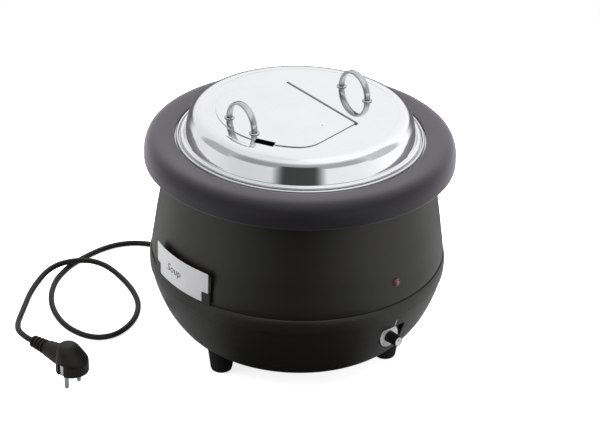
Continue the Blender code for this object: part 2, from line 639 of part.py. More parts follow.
def lid_hinge_leaf(finish):
    """Hinge leaf under the lid's flat: a strip with three knuckles on webs."""
    turn = lid_turn()
    top = LID_TOP_Z - LID_SHEET - GAP
    low = top - 0.0008
    leaf = block("lid_hinge_leaf", (-HINGE_HALF, HINGE_Y + 0.0004, low), (HINGE_HALF, HINGE_Y + 0.0130, top),
                 finish, matrix=turn)
    for index in (0, 2, 4):
        barrel, start, end = knuckle("lid_knuckle_%d" % index, index, finish)
        web = block("lid_web_%d" % index, (start + 0.0003, HINGE_Y + 0.0006, low + 0.0002),
                    (end - 0.0003, HINGE_Y + 0.0014, HINGE_Z - 0.0008), finish, matrix=turn)
        boolean(leaf, web, "UNION")
        boolean(leaf, barrel, "UNION")


def hinge_pin(finish):
    """Pin through the knuckles with one round head at the right-hand end."""
    end = HINGE_HALF + 0.0003
    pin = [(0, end + 0.0009), (0.0015, end + 0.0007), (0.0017, end), (PIN_R, end), (PIN_R, -HINGE_HALF),
           (0, -HINGE_HALF)]
    turned("hinge_pin", pin, finish, 12, lid_turn() @ along_x((0, HINGE_Y, HINGE_Z)))


def oval_band(name, path, finish, matrix):
    """Oval band swept along a path of (x, z) points, wide across it along Y, with flat ends."""
    build = bmesh.new()
    rings = []
    for index, (x, z) in enumerate(path):
        behind = Vector(path[max(index - 1, 0)])
        ahead = Vector(path[min(index + 1, len(path) - 1)])
        along = (ahead - behind).normalized()
        ring = []
        for step in range(BAND_SIDES):
            turn = 2 * math.pi * (step + 0.5) / BAND_SIDES
            out = HANDLE_HALF_THICK * math.sin(turn)
            spot = (x - along.y * out, HANDLE_HALF_WIDTH * math.cos(turn), z + along.x * out)
            ring.append(build.verts.new(spot))
        rings.append(ring)
    for low, high in zip(rings, rings[1:]):
        for step in range(BAND_SIDES):
            after = (step + 1) % BAND_SIDES
            build.faces.new((low[step], low[after], high[after], high[step]))
    build.faces.new(rings[0])
    build.faces.new(rings[-1])
    new_object(name, build, finish, matrix)


def handle(label, middle, sheet_top, sheet, finish, steel):
    """Arched band on two washers, held by two screws from inside the lid."""
    foot = sheet_top + GAP + WASHER_H + GAP
    crown = foot + HANDLE_LEG
    rise = [(x, crown + z) for x, z in arc((0, 0), HANDLE_R, 180, 0, 14)]
    path = [(-HANDLE_R, foot)] + rise + [(HANDLE_R, foot)]
    turn = lid_turn() @ Matrix.Translation((*middle, 0))
    oval_band(label + "_handle", path, finish, turn)
    bottom = sheet_top - sheet - GAP
    screw = [(0, foot - GAP), (SCREW_R, foot - GAP), (SCREW_R, bottom), (SCREW_HEAD_R, bottom),
             (SCREW_HEAD_R - 0.0008, bottom - SCREW_HEAD_H), (0, bottom - SCREW_HEAD_H)]
    washer = [(SCREW_HOLE_R, foot - GAP), (WASHER_R - 0.0005, foot - GAP),
              (WASHER_R, foot - GAP - WASHER_H), (SCREW_HOLE_R, foot - GAP - WASHER_H)]
    for side, x in (("left", -HANDLE_R), ("right", HANDLE_R)):
        place = turn @ Matrix.Translation((x, 0, 0))
        turned("%s_handle_washer_%s" % (label, side), washer, finish, 14, place)
        turned("%s_handle_screw_%s" % (label, side), screw, steel, 12, place)


# ---------------------------------------------------------------- label


def label_holder(finish):
    """Curved channel that takes the card from above and laps over its lower corners.

    A ring sector is divided into cells across and along. All cells rise to the ledge, the outer
    cells at both ends rise on to the tabs, and the innermost row rises to the back's full height.
    """
    lap = HOLDER_HALF_ANGLE - TAB_HALF_ANGLE
    wall = HOLDER_HALF_ANGLE - CARD_HALF_ANGLE - 0.2
    start = LABEL_ANGLE - HOLDER_HALF_ANGLE
    end = LABEL_ANGLE + HOLDER_HALF_ANGLE
    middle = [start + lap + (end - start - 2 * lap) * step / 12 for step in range(13)]
    angles = [start, start + wall] + middle + [end - wall, end]
    radii = [*HOLDER_R, *TAB_R]
    build = bmesh.new()
    grid = [[build.verts.new((r * math.cos(math.radians(a)), r * math.sin(math.radians(a)), HOLDER_Z[0]))
             for r in radii] for a in angles]
    rows = {}
    last = len(angles) - 2
    for column in range(last + 1):
        for row in range(3):
            face = build.faces.new((grid[column][row], grid[column][row + 1],
                                    grid[column + 1][row + 1], grid[column + 1][row]))
            cheek = column in (0, last)
            tab = row == 2 and column in (0, 1, last - 1, last)
            rows[face.calc_center_median().freeze()] = (row == 0, row == 0 or cheek or tab)

    def kind(face):
        spot = face.calc_center_median()
        flat = Vector((spot.x, spot.y, HOLDER_Z[0]))
        return min(rows.items(), key=lambda item: (item[0] - flat).length_squared)[1]

    def raise_faces(faces, height, keep_base=False):
        grown = bmesh.ops.extrude_face_region(build, geom=faces)["geom"]
        if not keep_base:
            bmesh.ops.delete(build, geom=faces, context="FACES")
        points = [item for item in grown if isinstance(item, bmesh.types.BMVert)]
        for point in points:
            point.co.z = height
        return [item for item in grown if isinstance(item, bmesh.types.BMFace)]

    top = raise_faces(list(build.faces), CARD_Z[0] - GAP, keep_base=True)
    top = raise_faces([face for face in top if kind(face)[1]], TAB_TOP_Z)
    raise_faces([face for face in top if kind(face)[0]], HOLDER_Z[1])
    new_object("label_holder", build, finish)


def label_card(finish):
    """Curved card that slides up out of the holder."""
    angles = (LABEL_ANGLE - CARD_HALF_ANGLE, LABEL_ANGLE + CARD_HALF_ANGLE)
    arc_block("label_card", CARD_R, angles, CARD_Z, finish)


def holder_rivets(finish):
    """Two studs that stand the holder off the tapered casing."""
    for side, offset in (("left", -9.0), ("right", 9.0)):
        turn = Matrix.Rotation(math.radians(LABEL_ANGLE + offset), 4, "Z")
        place = turn @ along_x((0, 0, 0.1480))
        stud = [(0, HOLDER_R[0] - GAP), (0.0030, HOLDER_R[0] - GAP), (0.0030, 0.1604), (0, 0.1604)]
        turned("holder_stud_" + side, stud, finish, 12, place)


# ---------------------------------------------------------------- mains lead


def gland_frame():
    """Axis of the gland: out of the bowl's -X side and down along its normal."""
    tilt = Matrix.Rotation(math.pi / 2 + GLAND_DROP, 4, "Y")
    place = Matrix.Translation((GLAND_SURFACE_R, 0, GLAND_Z))
    return Matrix.Rotation(math.pi, 4, "Z") @ place @ tilt


def cord_gland(finish):
    """Flexible strain relief that tapers to the lead, and the nut that holds it inside."""
    flange = 0.0009
    relief = [(0, GLAND_LENGTH), (0.0040, GLAND_LENGTH), (0.0048, GLAND_LENGTH - 0.001),
              (0.0068, 0.0060), (0.0092, 0.0058), (0.0095, flange + 0.0008), (0.0095, flange),
              (GLAND_STEM_R, flange), (GLAND_STEM_R, -0.0080), (0, -0.0080)]
    turned("cord_gland", relief, finish, 16, gland_frame())
    bore = hexagon_corner(GLAND_STEM_R + GAP)
    nut = [(bore, -0.0026), (0.0105, -0.0026), (0.0105, -0.0060), (bore, -0.0060)]
    turned("gland_nut", nut, finish, 6, gland_frame())


def mains_lead(finish):
    """Round black lead along its whole route."""
    rod("mains_lead", smooth_points(lead_route(), CORD_POINTS), CORD_R, finish, 2)


def lead_route():
    """Whole route: straight out of the gland, along the floor and straight into the plug."""
    out = [gland_frame() @ Vector((0, 0, GLAND_LENGTH + GAP + reach)) for reach in (0.0, LEAD_STRAIGHT)]
    end = SLEEVE_X[0] - GAP
    into = [plug_frame() @ Vector((end - reach, 0, PLUG_AXIS_Z)) for reach in (LEAD_STRAIGHT, 0.0)]
    return out + CORD_ROUTE + into


def plug_frame():
    """The plug's own frame: origin between its pins' tips, +X towards its head."""
    return Matrix.Translation((*PLUG_SPOT, 0)) @ Matrix.Rotation(PLUG_HEADING, 4, "Z")


def plug_head(finish, matrix):
    """Head of the plug: a round foot under a hump whose front slopes back."""
    build = bmesh.new()
    rings = []
    for height, middle, half_length, half_width in PLUG_SECTIONS:
        oval = arc((0, 0), 1.0, 0, 360, PLUG_SIDES)[:-1]
        rings.append([build.verts.new((middle + x * half_length, y * half_width, height)) for x, y in oval])
    for low, high in zip(rings, rings[1:]):
        for step in range(PLUG_SIDES):
            after = (step + 1) % PLUG_SIDES
            build.faces.new((low[step], low[after], high[after], high[step]))
    build.faces.new(rings[0])
    build.faces.new(rings[-1])
    return new_object("plug_body", build, finish, matrix)


def plug(black, steel):
    """Angled two-pin mains plug that stands on its pins."""
    frame = plug_frame()
    base = PIN_LENGTH
    body = plug_head(black, frame)
    neck_axis = frame @ along_x((0, 0, PLUG_AXIS_Z))
    neck_end = SLEEVE_X[1] + GAP
    neck = [(0, -0.004), (0.0125, -0.004), (0.0122, -0.016), (0.0108, -0.026), (0.0094, neck_end),
            (0, neck_end)]
    boolean(body, turned("plug_neck", neck, black, SMALL_STEPS, neck_axis), "UNION")

    length = SLEEVE_X[1] - SLEEVE_X[0]
    sleeve = [(0, SLEEVE_X[1]), (SLEEVE_R, SLEEVE_X[1])]
    ribs = 4
    for index in range(ribs):
        back = SLEEVE_X[1] - length * (index + 0.55) / ribs
        end = SLEEVE_X[1] - length * (index + 1) / ribs
        radius = SLEEVE_R - 0.0005 * index
        sleeve += [(radius, back), (radius - 0.0020, back), (radius - 0.0020, end), (radius - 0.0005, end)]
    sleeve[-1] = (0, SLEEVE_X[0])
    turned("plug_sleeve", sleeve, black, SMALL_STEPS, neck_axis)
    pin = [(0, base - GAP), (PLUG_PIN_R, base - GAP), (PLUG_PIN_R, 0.0012), (0.0012, 0.0), (0, 0.0)]
    for label, side in (("left", 1), ("right", -1)):
        place = frame @ Matrix.Translation((0, side * PIN_SPACING / 2, 0))
        turned("plug_pin_" + label, pin, steel, 12, place)


# ---------------------------------------------------------------- assembly


def main():
    for old in list(bpy.data.objects):
        bpy.data.objects.remove(old, do_unlink=True)

    paint = casing_paint()
    collar = collar_plastic()
    polished = polished_steel()
    steel = plain_steel()
    black = black_plastic()
    bright = material("dial_silver", (0.78, 0.78, 0.79), 0.3, 0.6)
    white = material("label_white", (0.80, 0.81, 0.84), 0.5)
    dark = material("heater_sheath", (0.18, 0.18, 0.19), 0.5, 0.8)
    cream = material("terminal_nylon", (0.70, 0.68, 0.60), 0.5)
    brass = material("cutout_brass", (0.70, 0.52, 0.25), 0.3, 1.0)
    red = material("lamp_red", (0.20, 0.02, 0.04), 0.2)
    rubber = material("foot_rubber", (0.010, 0.010, 0.010), 0.7)

    collar_ring(collar)
    upper_casing(paint)
    lower_bowl(paint)
    base_plate(steel)
    feet(rubber, steel)
    water_basin(steel)
    insert_pot(polished)
    heating(steel, dark, brass)
    controls(black, bright, white, cream, steel)
    pilot_lamp(red, cream)
    terminal_block(cream)
    lid_shell(polished)
    lid_flap(polished)
    lid_hinge_leaf(polished)
    hinge_pin(steel)
    handle("front", FRONT_HANDLE, LID_TOP_Z + GAP + FLAP_SHEET, FLAP_SHEET, polished, steel)
    handle("rear", REAR_HANDLE, LID_TOP_Z, LID_SHEET, polished, steel)
    label_holder(black)
    label_card(white)
    holder_rivets(black)
    cord_gland(black)
    mains_lead(black)
    plug(black, steel)


main()
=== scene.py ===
"""Looks of the electric soup tureen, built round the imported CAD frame. Metres, row frame, +Z up."""

import json
from math import atan2, copysign, cos, degrees, dist, pi, radians, sin, sqrt

import bmesh
import bpy
import numpy as np
from mathutils import Matrix, Vector

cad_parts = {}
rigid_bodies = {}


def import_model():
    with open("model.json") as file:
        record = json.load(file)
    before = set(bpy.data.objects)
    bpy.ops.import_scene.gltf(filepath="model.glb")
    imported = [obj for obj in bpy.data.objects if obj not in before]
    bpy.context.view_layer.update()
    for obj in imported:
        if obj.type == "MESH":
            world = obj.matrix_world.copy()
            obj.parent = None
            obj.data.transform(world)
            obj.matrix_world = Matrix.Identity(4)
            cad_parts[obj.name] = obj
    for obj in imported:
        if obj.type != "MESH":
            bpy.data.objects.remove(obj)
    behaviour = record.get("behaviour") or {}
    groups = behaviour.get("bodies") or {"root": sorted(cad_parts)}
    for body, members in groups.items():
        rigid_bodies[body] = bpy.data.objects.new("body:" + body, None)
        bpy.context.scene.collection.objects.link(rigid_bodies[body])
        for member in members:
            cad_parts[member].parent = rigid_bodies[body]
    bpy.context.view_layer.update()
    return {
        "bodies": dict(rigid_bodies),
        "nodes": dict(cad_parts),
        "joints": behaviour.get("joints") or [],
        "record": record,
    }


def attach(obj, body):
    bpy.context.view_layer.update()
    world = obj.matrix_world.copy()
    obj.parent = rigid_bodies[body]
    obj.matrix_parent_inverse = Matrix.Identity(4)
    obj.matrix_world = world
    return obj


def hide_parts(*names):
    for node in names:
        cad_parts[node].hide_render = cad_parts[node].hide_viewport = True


# ---------------------------------------------------------------- dimensions shared with the CAD
GAP = 0.0003                    # clearance between pieces that touch
TURN_STEPS = 176                # facets of the large turned shells
LID_YAW = radians(-4.0)
LID_TOP_Z = 0.2885
SHEET = 0.0008                  # steel of the lid, the flap, the pot and the basin
CASING_SHEET = 0.0012
BASIN_R = 0.1278
BASIN_BOTTOM_Z = 0.0587
BASIN_CORNER = 0.03
POT_R = 0.1205
POT_BOTTOM_Z = 0.068
POT_CORNER = 0.026
BEAD = 0.0015                   # radius of the rolled edges
POT_RIM_Z = 0.258
HINGE_Y = 0.027
HINGE_HALF = 0.061
HINGE_Z = LID_TOP_Z + GAP + SHEET / 2
KNUCKLE_R = 0.0013
KNUCKLE_BORE_R = 0.00095
FLAP_R = 0.0925
FLAP_CORNER = 0.014
FLAP_SIDE = Vector((0.0795 - HINGE_HALF, -0.0473 - HINGE_Y)).normalized()
LEDGE = 0.005
SLOT_R = (0.0877, 0.0961)
SLOT_LENGTH = 0.022
SLOT_ANGLE = radians(-61.4)
HANDLE_R = 0.0226
HANDLE_HALF_WIDTH = 0.004
HANDLE_HALF_THICK = 0.0019
HANDLE_LEG = 0.0004
FRONT_HANDLE = (-0.001, -0.078)
REAR_HANDLE = (0.0014, 0.0718)
FOOT_RING_R = 0.108
FLAT_CUT_Z = (0.026, 0.034)     # height range of the cutters through the bowl's flange and the plate
LID_CUT_Z = (0.28, 0.3)         # and of those through the lid's flat
FOOT_ANGLES = {"front": -90.0, "right": 30.0, "left": 150.0}
KNOB_Z = 0.0752
POCKET_FLOOR_X = 0.1515
POCKET_HALF = 0.0168
POCKET_TOP_Z = 0.0905
POCKET_BOTTOM_Z = 0.056
LAMP_Z = 0.145
LABEL_ANGLE = -92.0
LABEL_R = 0.1645                # radius at which the card's width is measured
GLAND_Z = 0.047
GLAND_SURFACE_R = 0.1402
GLAND_DROP = radians(38.0)      # the gland points down along the bowl's normal
GLAND_LENGTH = 0.03
LEAD_STRAIGHT = 0.008           # straight stretch of lead at the gland and at the plug
PLUG_HEADING = radians(10.4)
PLUG_SPOT = (-0.0758, -0.2562)
PLUG_AXIS_Z = 0.0317
SLEEVE_X = (-0.0612, -0.036)
PLUG_SECTIONS = [               # height, middle, half length and half width of the plug's head
    (0.0192, 0.0, 0.0176, 0.0176), (0.02, 0.0, 0.0182, 0.0182), (0.024, 0.0, 0.0182, 0.0182),
    (0.029, 0.0, 0.0182, 0.0182), (0.032, 0.0, 0.0181, 0.0181), (0.035, -0.0006, 0.0174, 0.0175),
    (0.04, -0.003, 0.0149, 0.0154), (0.045, -0.0052, 0.0121, 0.0129), (0.048, -0.0066, 0.0095, 0.0105),
    (0.0494, -0.0073, 0.0068, 0.008), (0.0498, -0.0076, 0.0036, 0.0044),
]
CORD_R = 0.0033
CORD_ROUTE = [
    (-0.179, 0.001, 0.0181), (-0.191, 0.0025, 0.012),
    (-0.207, 0.005, 0.0066), (-0.226, 0.008, 0.004), (-0.246, 0.006, 0.0034),
    (-0.266, -0.005, 0.0034), (-0.281, -0.019, 0.0034), (-0.29, -0.037, 0.0034),
    (-0.293, -0.056, 0.0034), (-0.292, -0.075, 0.0034), (-0.289, -0.094, 0.0034),
    (-0.285, -0.11, 0.0034), (-0.279, -0.124, 0.0034), (-0.268, -0.143, 0.0034),
    (-0.253, -0.16, 0.0034), (-0.237, -0.173, 0.0034), (-0.218, -0.184, 0.0034),
    (-0.195, -0.192, 0.0034), (-0.172, -0.195, 0.0034), (-0.151, -0.192, 0.0034),
    (-0.137, -0.185, 0.0034), (-0.129, -0.175, 0.0034), (-0.126, -0.16, 0.0034),
    (-0.131, -0.14, 0.0034), (-0.143, -0.12, 0.0034), (-0.161, -0.103, 0.0034),
    (-0.182, -0.092, 0.0034), (-0.207, -0.0845, 0.0038), (-0.231, -0.082, 0.0056),
    (-0.25, -0.084, 0.0082), (-0.265, -0.091, 0.0102), (-0.276, -0.102, 0.0108),
    (-0.283, -0.116, 0.0108), (-0.286, -0.131, 0.0098), (-0.284, -0.148, 0.0072),
    (-0.273, -0.169, 0.0052), (-0.255, -0.191, 0.0068), (-0.232, -0.213, 0.011),
    (-0.209, -0.234, 0.0165), (-0.187, -0.2525, 0.0228), (-0.1655, -0.265, 0.0286),
]

# ---------------------------------------------------------------- studio levels
FRONT_WAY = (0.7466, -0.6652)   # level direction that the camera looks from
GAP_DEPTH = 0.94                # how dark the gap in front is, and the band above it
BAND_DEPTH = 0.62
STRIP_DEPTH = 0.45              # dim strips to the left and right of the kettle
FILL_DEPTH = 0.9                # how much less light the front of the studio gives than it mirrors
LOW_DEPTH = 0.55                # the same for everything near the horizon
SIDE_LEVELS = (0.9, 1.2)        # left and right of the camera
OVERHEAD = 1.0
FLOOR_R = 1.05
FLOOR_BOUNCE = (0.55, 0.06)     # what the floor gives back beside the kettle and in front of it
FLOOR_BEHIND = 0.08
FLOOR_LIFT = 0.78

# ---------------------------------------------------------------- node helpers


class Tree:
    """Short calls for the nodes of one node tree."""

    def __init__(self, tree):
        self.tree = tree

    def feed(self, socket, value):
        if isinstance(value, bpy.types.NodeSocket):
            self.tree.links.new(value, socket)
        else:
            socket.default_value = value

    def add(self, kind, inputs=None, **settings):
        made = self.tree.nodes.new(kind)
        for key, value in settings.items():
            setattr(made, key, value)
        for key, value in (inputs or {}).items():
            self.feed(made.inputs[key], value)
        return made

    def math(self, operation, a, b=0.0):
        return self.add("ShaderNodeMath", {0: a, 1: b}, operation=operation).outputs[0]

    def times(self, a, b):
        return self.math("MULTIPLY", a, b)

    def length(self, a, b):
        return self.math("SQRT", self.math("ADD", self.times(a, a), self.times(b, b)))

    def split(self, vector):
        return self.add("ShaderNodeSeparateXYZ", {0: vector}).outputs

    def join(self, x, y, z):
        return self.add("ShaderNodeCombineXYZ", {0: x, 1: y, 2: z}).outputs[0]

    def scaled(self, vector, factors):
        return self.add("ShaderNodeVectorMath", {0: vector, 1: factors}, operation="MULTIPLY").outputs[0]

    def unit(self, vector):
        return self.add("ShaderNodeVectorMath", {0: vector}, operation="NORMALIZE").outputs[0]

    def towards(self, vector, way):
        made = self.add("ShaderNodeVectorMath", {0: vector, 1: (*way, 0.0)}, operation="DOT_PRODUCT")
        return made.outputs["Value"]

    def span(self, value, source, target, smooth=False):
        kind = "SMOOTHSTEP" if smooth else "LINEAR"
        inputs = {0: value, 1: source[0], 2: source[1], 3: target[0], 4: target[1]}
        return self.add("ShaderNodeMapRange", inputs, interpolation_type=kind).outputs[0]


class Nodes(Tree):
    """A material's node tree, with its Principled shader."""

    def __init__(self, name, colour, roughness, metallic=0.0, sockets=None):
        self.made = bpy.data.materials.new(name)
        self.made.use_nodes = True
        self.made.diffuse_color = (*colour, 1.0)
        super().__init__(self.made.node_tree)
        self.shader = self.tree.nodes["Principled BSDF"]
        self.set("Base Color", (*colour, 1.0))
        self.set("Roughness", roughness)
        self.set("Metallic", metallic)
        for socket, value in (sockets or {}).items():
            self.set(socket, value)
        self.place = self.add("ShaderNodeTexCoord").outputs["Object"]

    def set(self, socket, value):
        self.feed(self.shader.inputs[socket], value)

    def noise(self, scale, detail=2.0, rough=0.5, vector=None):
        inputs = {"Vector": vector or self.place, "Scale": scale, "Detail": detail, "Roughness": rough}
        return self.add("ShaderNodeTexNoise", inputs).outputs["Fac"]

    def cells(self, scale):
        return self.add("ShaderNodeTexVoronoi", {"Vector": self.place, "Scale": scale}).outputs["Distance"]

    def blend(self, factor, first, second):
        made = self.add("ShaderNodeMix", data_type="RGBA")
        self.feed(made.inputs[0], factor)
        for index, value in ((6, first), (7, second)):
            self.feed(made.inputs[index], value if isinstance(value, bpy.types.NodeSocket) else (*value, 1.0))
        return made.outputs[2]

    def tint(self, value, source, first, second, most=1.0):
        """Base colour between two others, as a value runs through a span."""
        self.set("Base Color", self.blend(self.span(value, source, (0.0, most)), first, second))

    def rough(self, value, target):
        self.set("Roughness", self.span(value, (0.3, 0.7), target))

    def from_axis(self, height):
        """Distance from a level axis along X at a height."""
        _, y, z = self.split(self.place)
        return self.length(y, self.math("SUBTRACT", z, height))

    def bump(self, height, distance, strength=1.0, under=None):
        inputs = {"Height": height, "Distance": distance, "Strength": strength}
        if under is not None:
            inputs["Normal"] = under
        return self.add("ShaderNodeBump", inputs).outputs["Normal"]

    def relief(self, *bump):
        self.set("Normal", self.bump(*bump))

    def around_z(self, turns, radial):
        """Coordinates that run round the Z axis slowly and across it fast, for circular brushing."""
        x, y, z = self.split(self.place)
        angle = self.math("ARCTAN2", y, x)
        far = self.math("ADD", self.times(self.length(x, y), radial), self.times(z, radial))
        bent = self.times(self.math("SINE", angle), turns)
        other = self.times(self.math("COSINE", angle), turns)
        return self.join(bent, other, far)


# ---------------------------------------------------------------- materials


def coated_metal():
    """Satin black coating with a fine orange-peel surface."""
    n = Nodes("satin_black_coating", (0.0105, 0.0102, 0.0092), 0.4, sockets={"Specular IOR Level": 0.5})
    broad = n.noise(9.0, 3.0, 0.6)
    fine = n.noise(1500.0, 2.0)
    colour = n.blend(broad, (0.0128, 0.0122, 0.0096), (0.0168, 0.016, 0.0132))
    speck = n.span(n.cells(700.0), (0.0, 0.1), (1.0, 0.0))
    n.set("Base Color", n.blend(n.times(speck, 0.35), colour, (0.034, 0.034, 0.035)))
    n.set("Roughness", n.math("ADD", n.span(broad, (0.3, 0.7), (0.36, 0.42)), n.times(fine, 0.05)))
    peel = n.bump(n.noise(420.0, 1.0), 0.00005, 0.5)
    n.relief(fine, 0.00002, 0.6, peel)
    return n.made


def grained_plastic():
    """Dark purple-grey moulded plastic with a fine eroded grain; most of its lightness is sheen."""
    n = Nodes("grained_collar_plastic", (0.014, 0.013, 0.015), 0.46,
              sockets={"Specular IOR Level": 0.3, "Sheen Weight": 0.84, "Sheen Roughness": 0.4,
                       "Sheen Tint": (0.93, 0.86, 1.0, 1.0)})
    grain = n.cells(850.0)
    fine = n.noise(1900.0, 3.0, 0.7)
    broad = n.noise(11.0, 3.0, 0.6)
    colour = n.blend(n.span(fine, (0.35, 0.65), (0.0, 1.0)), (0.011, 0.01, 0.012), (0.02, 0.018, 0.022))
    n.set("Base Color", n.blend(n.span(broad, (0.35, 0.7), (0.0, 0.35)), colour, (0.011, 0.01, 0.011)))
    n.rough(fine, (0.38, 0.48))
    n.relief(grain, 0.0001, 0.5, n.bump(fine, 0.00004, 0.7))
    return n.made


def mirror_steel(name="mirror_steel", colour=(0.81, 0.82, 0.835), rough=(0.04, 0.08), waves=0.00009):
    """Polished stainless steel: faint waves of the sheet, fine polishing marks and a few smears."""
    n = Nodes(name, colour, rough[0], 1.0)
    marks = n.noise(1.0, 4.0, 0.7, n.scaled(n.place, (60.0, 900.0, 400.0)))
    smear = n.noise(26.0, 4.0, 0.65)
    n.set("Roughness", n.math("ADD", n.span(smear, (0.42, 0.72), rough, True),
                              n.span(marks, (0.45, 0.75), (0.0, 0.02))))
    n.tint(smear, (0.4, 0.75), colour, tuple(c * 0.975 for c in colour))
    wave = n.bump(n.noise(10.0, 1.0), waves, 1.0)
    n.relief(marks, 0.000004, 0.5, wave)
    return n.made


def spun_steel():
    """Stainless steel brushed in circles round the kettle's axis."""
    colour = (0.62, 0.63, 0.64)
    n = Nodes("spun_steel", colour, 0.26, 1.0)
    lines = n.noise(1.0, 5.0, 0.75, n.around_z(2.5, 2600.0))
    broad = n.noise(14.0, 3.0, 0.6)
    n.rough(lines, (0.18, 0.34))
    n.tint(broad, (0.35, 0.7), colour, tuple(c * 0.86 for c in colour))
    n.relief(lines, 0.00002, 0.6)
    return n.made


def turned_steel(name="machined_steel", colour=(0.6, 0.61, 0.62), rough=(0.22, 0.38)):
    """Plain machined or pressed steel of the small hardware, with directional scratches."""
    n = Nodes(name, colour, rough[0], 1.0)
    marks = n.noise(1.0, 4.0, 0.7, n.scaled(n.place, (300.0, 300.0, 3000.0)))
    stain = n.noise(60.0, 3.0, 0.6)
    n.rough(marks, rough)
    n.tint(stain, (0.45, 0.8), colour, tuple(c * 0.72 for c in colour))
    n.relief(marks, 0.00001, 0.7)
    return n.made


def tinted_sheath():
    """Heater sheath with straw and blue heat tints on dull steel."""
    n = Nodes("heat_tinted_sheath", (0.2, 0.2, 0.21), 0.5, 0.9)
    patch = n.noise(40.0, 3.0, 0.6)
    colour = n.blend(n.span(patch, (0.4, 0.6), (0.0, 1.0)), (0.2, 0.19, 0.19), (0.3, 0.22, 0.13))
    n.tint(patch, (0.6, 0.75), colour, (0.1, 0.11, 0.19))
    n.rough(n.noise(900.0), (0.42, 0.62))
    return n.made


def moulded(name, colour, rough=(0.38, 0.5), grain=1200.0, depth=0.00003, speculars=0.45):
    """Moulded plastic or rubber with a fine grain and slightly uneven gloss."""
    n = Nodes(name, colour, rough[0], sockets={"Specular IOR Level": speculars})
    fine = n.noise(grain, 3.0, 0.6)
    broad = n.noise(35.0, 3.0, 0.6)
    n.tint(broad, (0.35, 0.7), colour, tuple(min(1.0, c * 1.3 + 0.002) for c in colour))
    n.rough(fine, rough)
    n.relief(fine, depth, 0.7)
    return n.made


def card_white():
    """Satin white card with faint fibres."""
    base = (0.93, 0.935, 0.955)
    n = Nodes("satin_white_card", base, 0.42, sockets={"Specular IOR Level": 0.4})
    fibre = n.noise(1.0, 4.0, 0.7, n.scaled(n.place, (260.0, 260.0, 900.0)))
    broad = n.noise(30.0, 2.0)
    colour = n.blend(n.span(broad, (0.35, 0.7), (0.0, 1.0)), base, (0.9, 0.905, 0.93))
    n.tint(fibre, (0.55, 0.8), colour, (0.86, 0.865, 0.89), 0.5)
    n.rough(fibre, (0.36, 0.48))
    n.relief(fibre, 0.00001, 0.5)
    return n.made


def silver_dial():
    """Satin silver face, spun about the knob's own axis."""
    n = Nodes("spun_silver_face", (0.9, 0.9, 0.91), 0.3, 0.25)
    radius = n.from_axis(KNOB_Z)
    rings = n.noise(1.0, 3.0, 0.6, n.join(n.times(radius, 5200.0), 0.0, 0.0))
    n.tint(rings, (0.3, 0.7), (0.86, 0.86, 0.87), (0.95, 0.95, 0.96))
    n.rough(rings, (0.24, 0.38))
    n.relief(rings, 0.00002, 0.6)
    return n.made


def lamp_red():
    """Translucent dark red lens with moulded rings under a glossy skin."""
    n = Nodes("red_lamp_lens", (0.2, 0.045, 0.075), 0.16, sockets={
        "Coat Weight": 0.5, "Coat Roughness": 0.08, "Transmission Weight": 0.25, "IOR": 1.49})
    radius = n.from_axis(LAMP_Z)
    rings = n.math("SINE", n.times(radius, 9000.0))
    glow = n.span(radius, (0.0005, 0.0036), (1.0, 0.0))
    n.set("Base Color", n.blend(glow, (0.24, 0.075, 0.115), (0.34, 0.14, 0.19)))
    n.relief(rings, 0.00004, 0.6)
    return n.made


# ---------------------------------------------------------------- mesh helpers


def done(build, name, mesh=None):
    """Write a bmesh to a mesh, a new one unless one is given, and free it."""
    mesh = mesh or bpy.data.meshes.new(name)
    build.to_mesh(mesh)
    build.free()
    return mesh


def opened(mesh):
    """A bmesh that holds a mesh."""
    build = bmesh.new()
    build.from_mesh(mesh)
    return build


def linked(made):
    bpy.context.scene.collection.objects.link(made)
    return made


def lofted(build, rings, name):
    """Closed skin over rings of a bmesh's vertices."""
    for low, high in zip(rings, rings[1:]):
        for step in range(len(low)):
            after = (step + 1) % len(low)
            build.faces.new((low[step], low[after], high[after], high[step]))
    build.faces.new(rings[0])
    build.faces.new(rings[-1])
    return done(build, name)


def piece(name, mesh, finish, body, stands_for=(), matrix=None, sharp=38.0):
    """Make a smooth-shaded object that rides on a CAD body."""
    if matrix is not None:
        mesh.transform(matrix)
    build = opened(mesh)
    bmesh.ops.recalc_face_normals(build, faces=build.faces)
    done(build, "", mesh)
    mesh.shade_smooth()
    mesh.set_sharp_from_angle(angle=radians(sharp))
    for face in mesh.polygons:
        if len(face.vertices) > 8 and abs(face.normal.z) > 0.99999:
            face.use_smooth = False
    mesh.materials.clear()
    mesh.materials.append(finish)
    made = linked(bpy.data.objects.new(name, mesh))
    if body is not None:
        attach(made, body)
    if stands_for:
        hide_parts(*stands_for)
    return made


def turned_mesh(outline, steps=TURN_STEPS, ripple=None):
    """Spin a closed outline of (radius, z) points about Z. ripple(angle, radius, z) changes the radius."""
    kept = [outline[0]]
    for point in outline[1:]:
        if dist(point, kept[-1]) > 2e-6:
            kept.append(point)
    if dist(kept[0], kept[-1]) < 2e-6:
        kept.pop()
    vertices, rows = [], []
    for radius, z in kept:
        if radius < 1e-7:
            rows.append([len(vertices)] * steps)
            vertices.append((0.0, 0.0, z))
            continue
        rows.append(list(range(len(vertices), len(vertices) + steps)))
        for step in range(steps):
            angle = 2 * pi * step / steps
            reach = radius if ripple is None else ripple(angle, radius, z)
            vertices.append((reach * cos(angle), reach * sin(angle), z))
    faces = []
    for row, after in zip(rows, rows[1:] + rows[:1]):
        for step in range(steps):
            turn = (step + 1) % steps
            corners = []
            for index in (row[step], row[turn], after[turn], after[step]):
                if index not in corners:
                    corners.append(index)
            if len(corners) > 2:
                faces.append(corners)
    mesh = bpy.data.meshes.new("turned")
    mesh.from_pydata(vertices, [], faces)
    return mesh


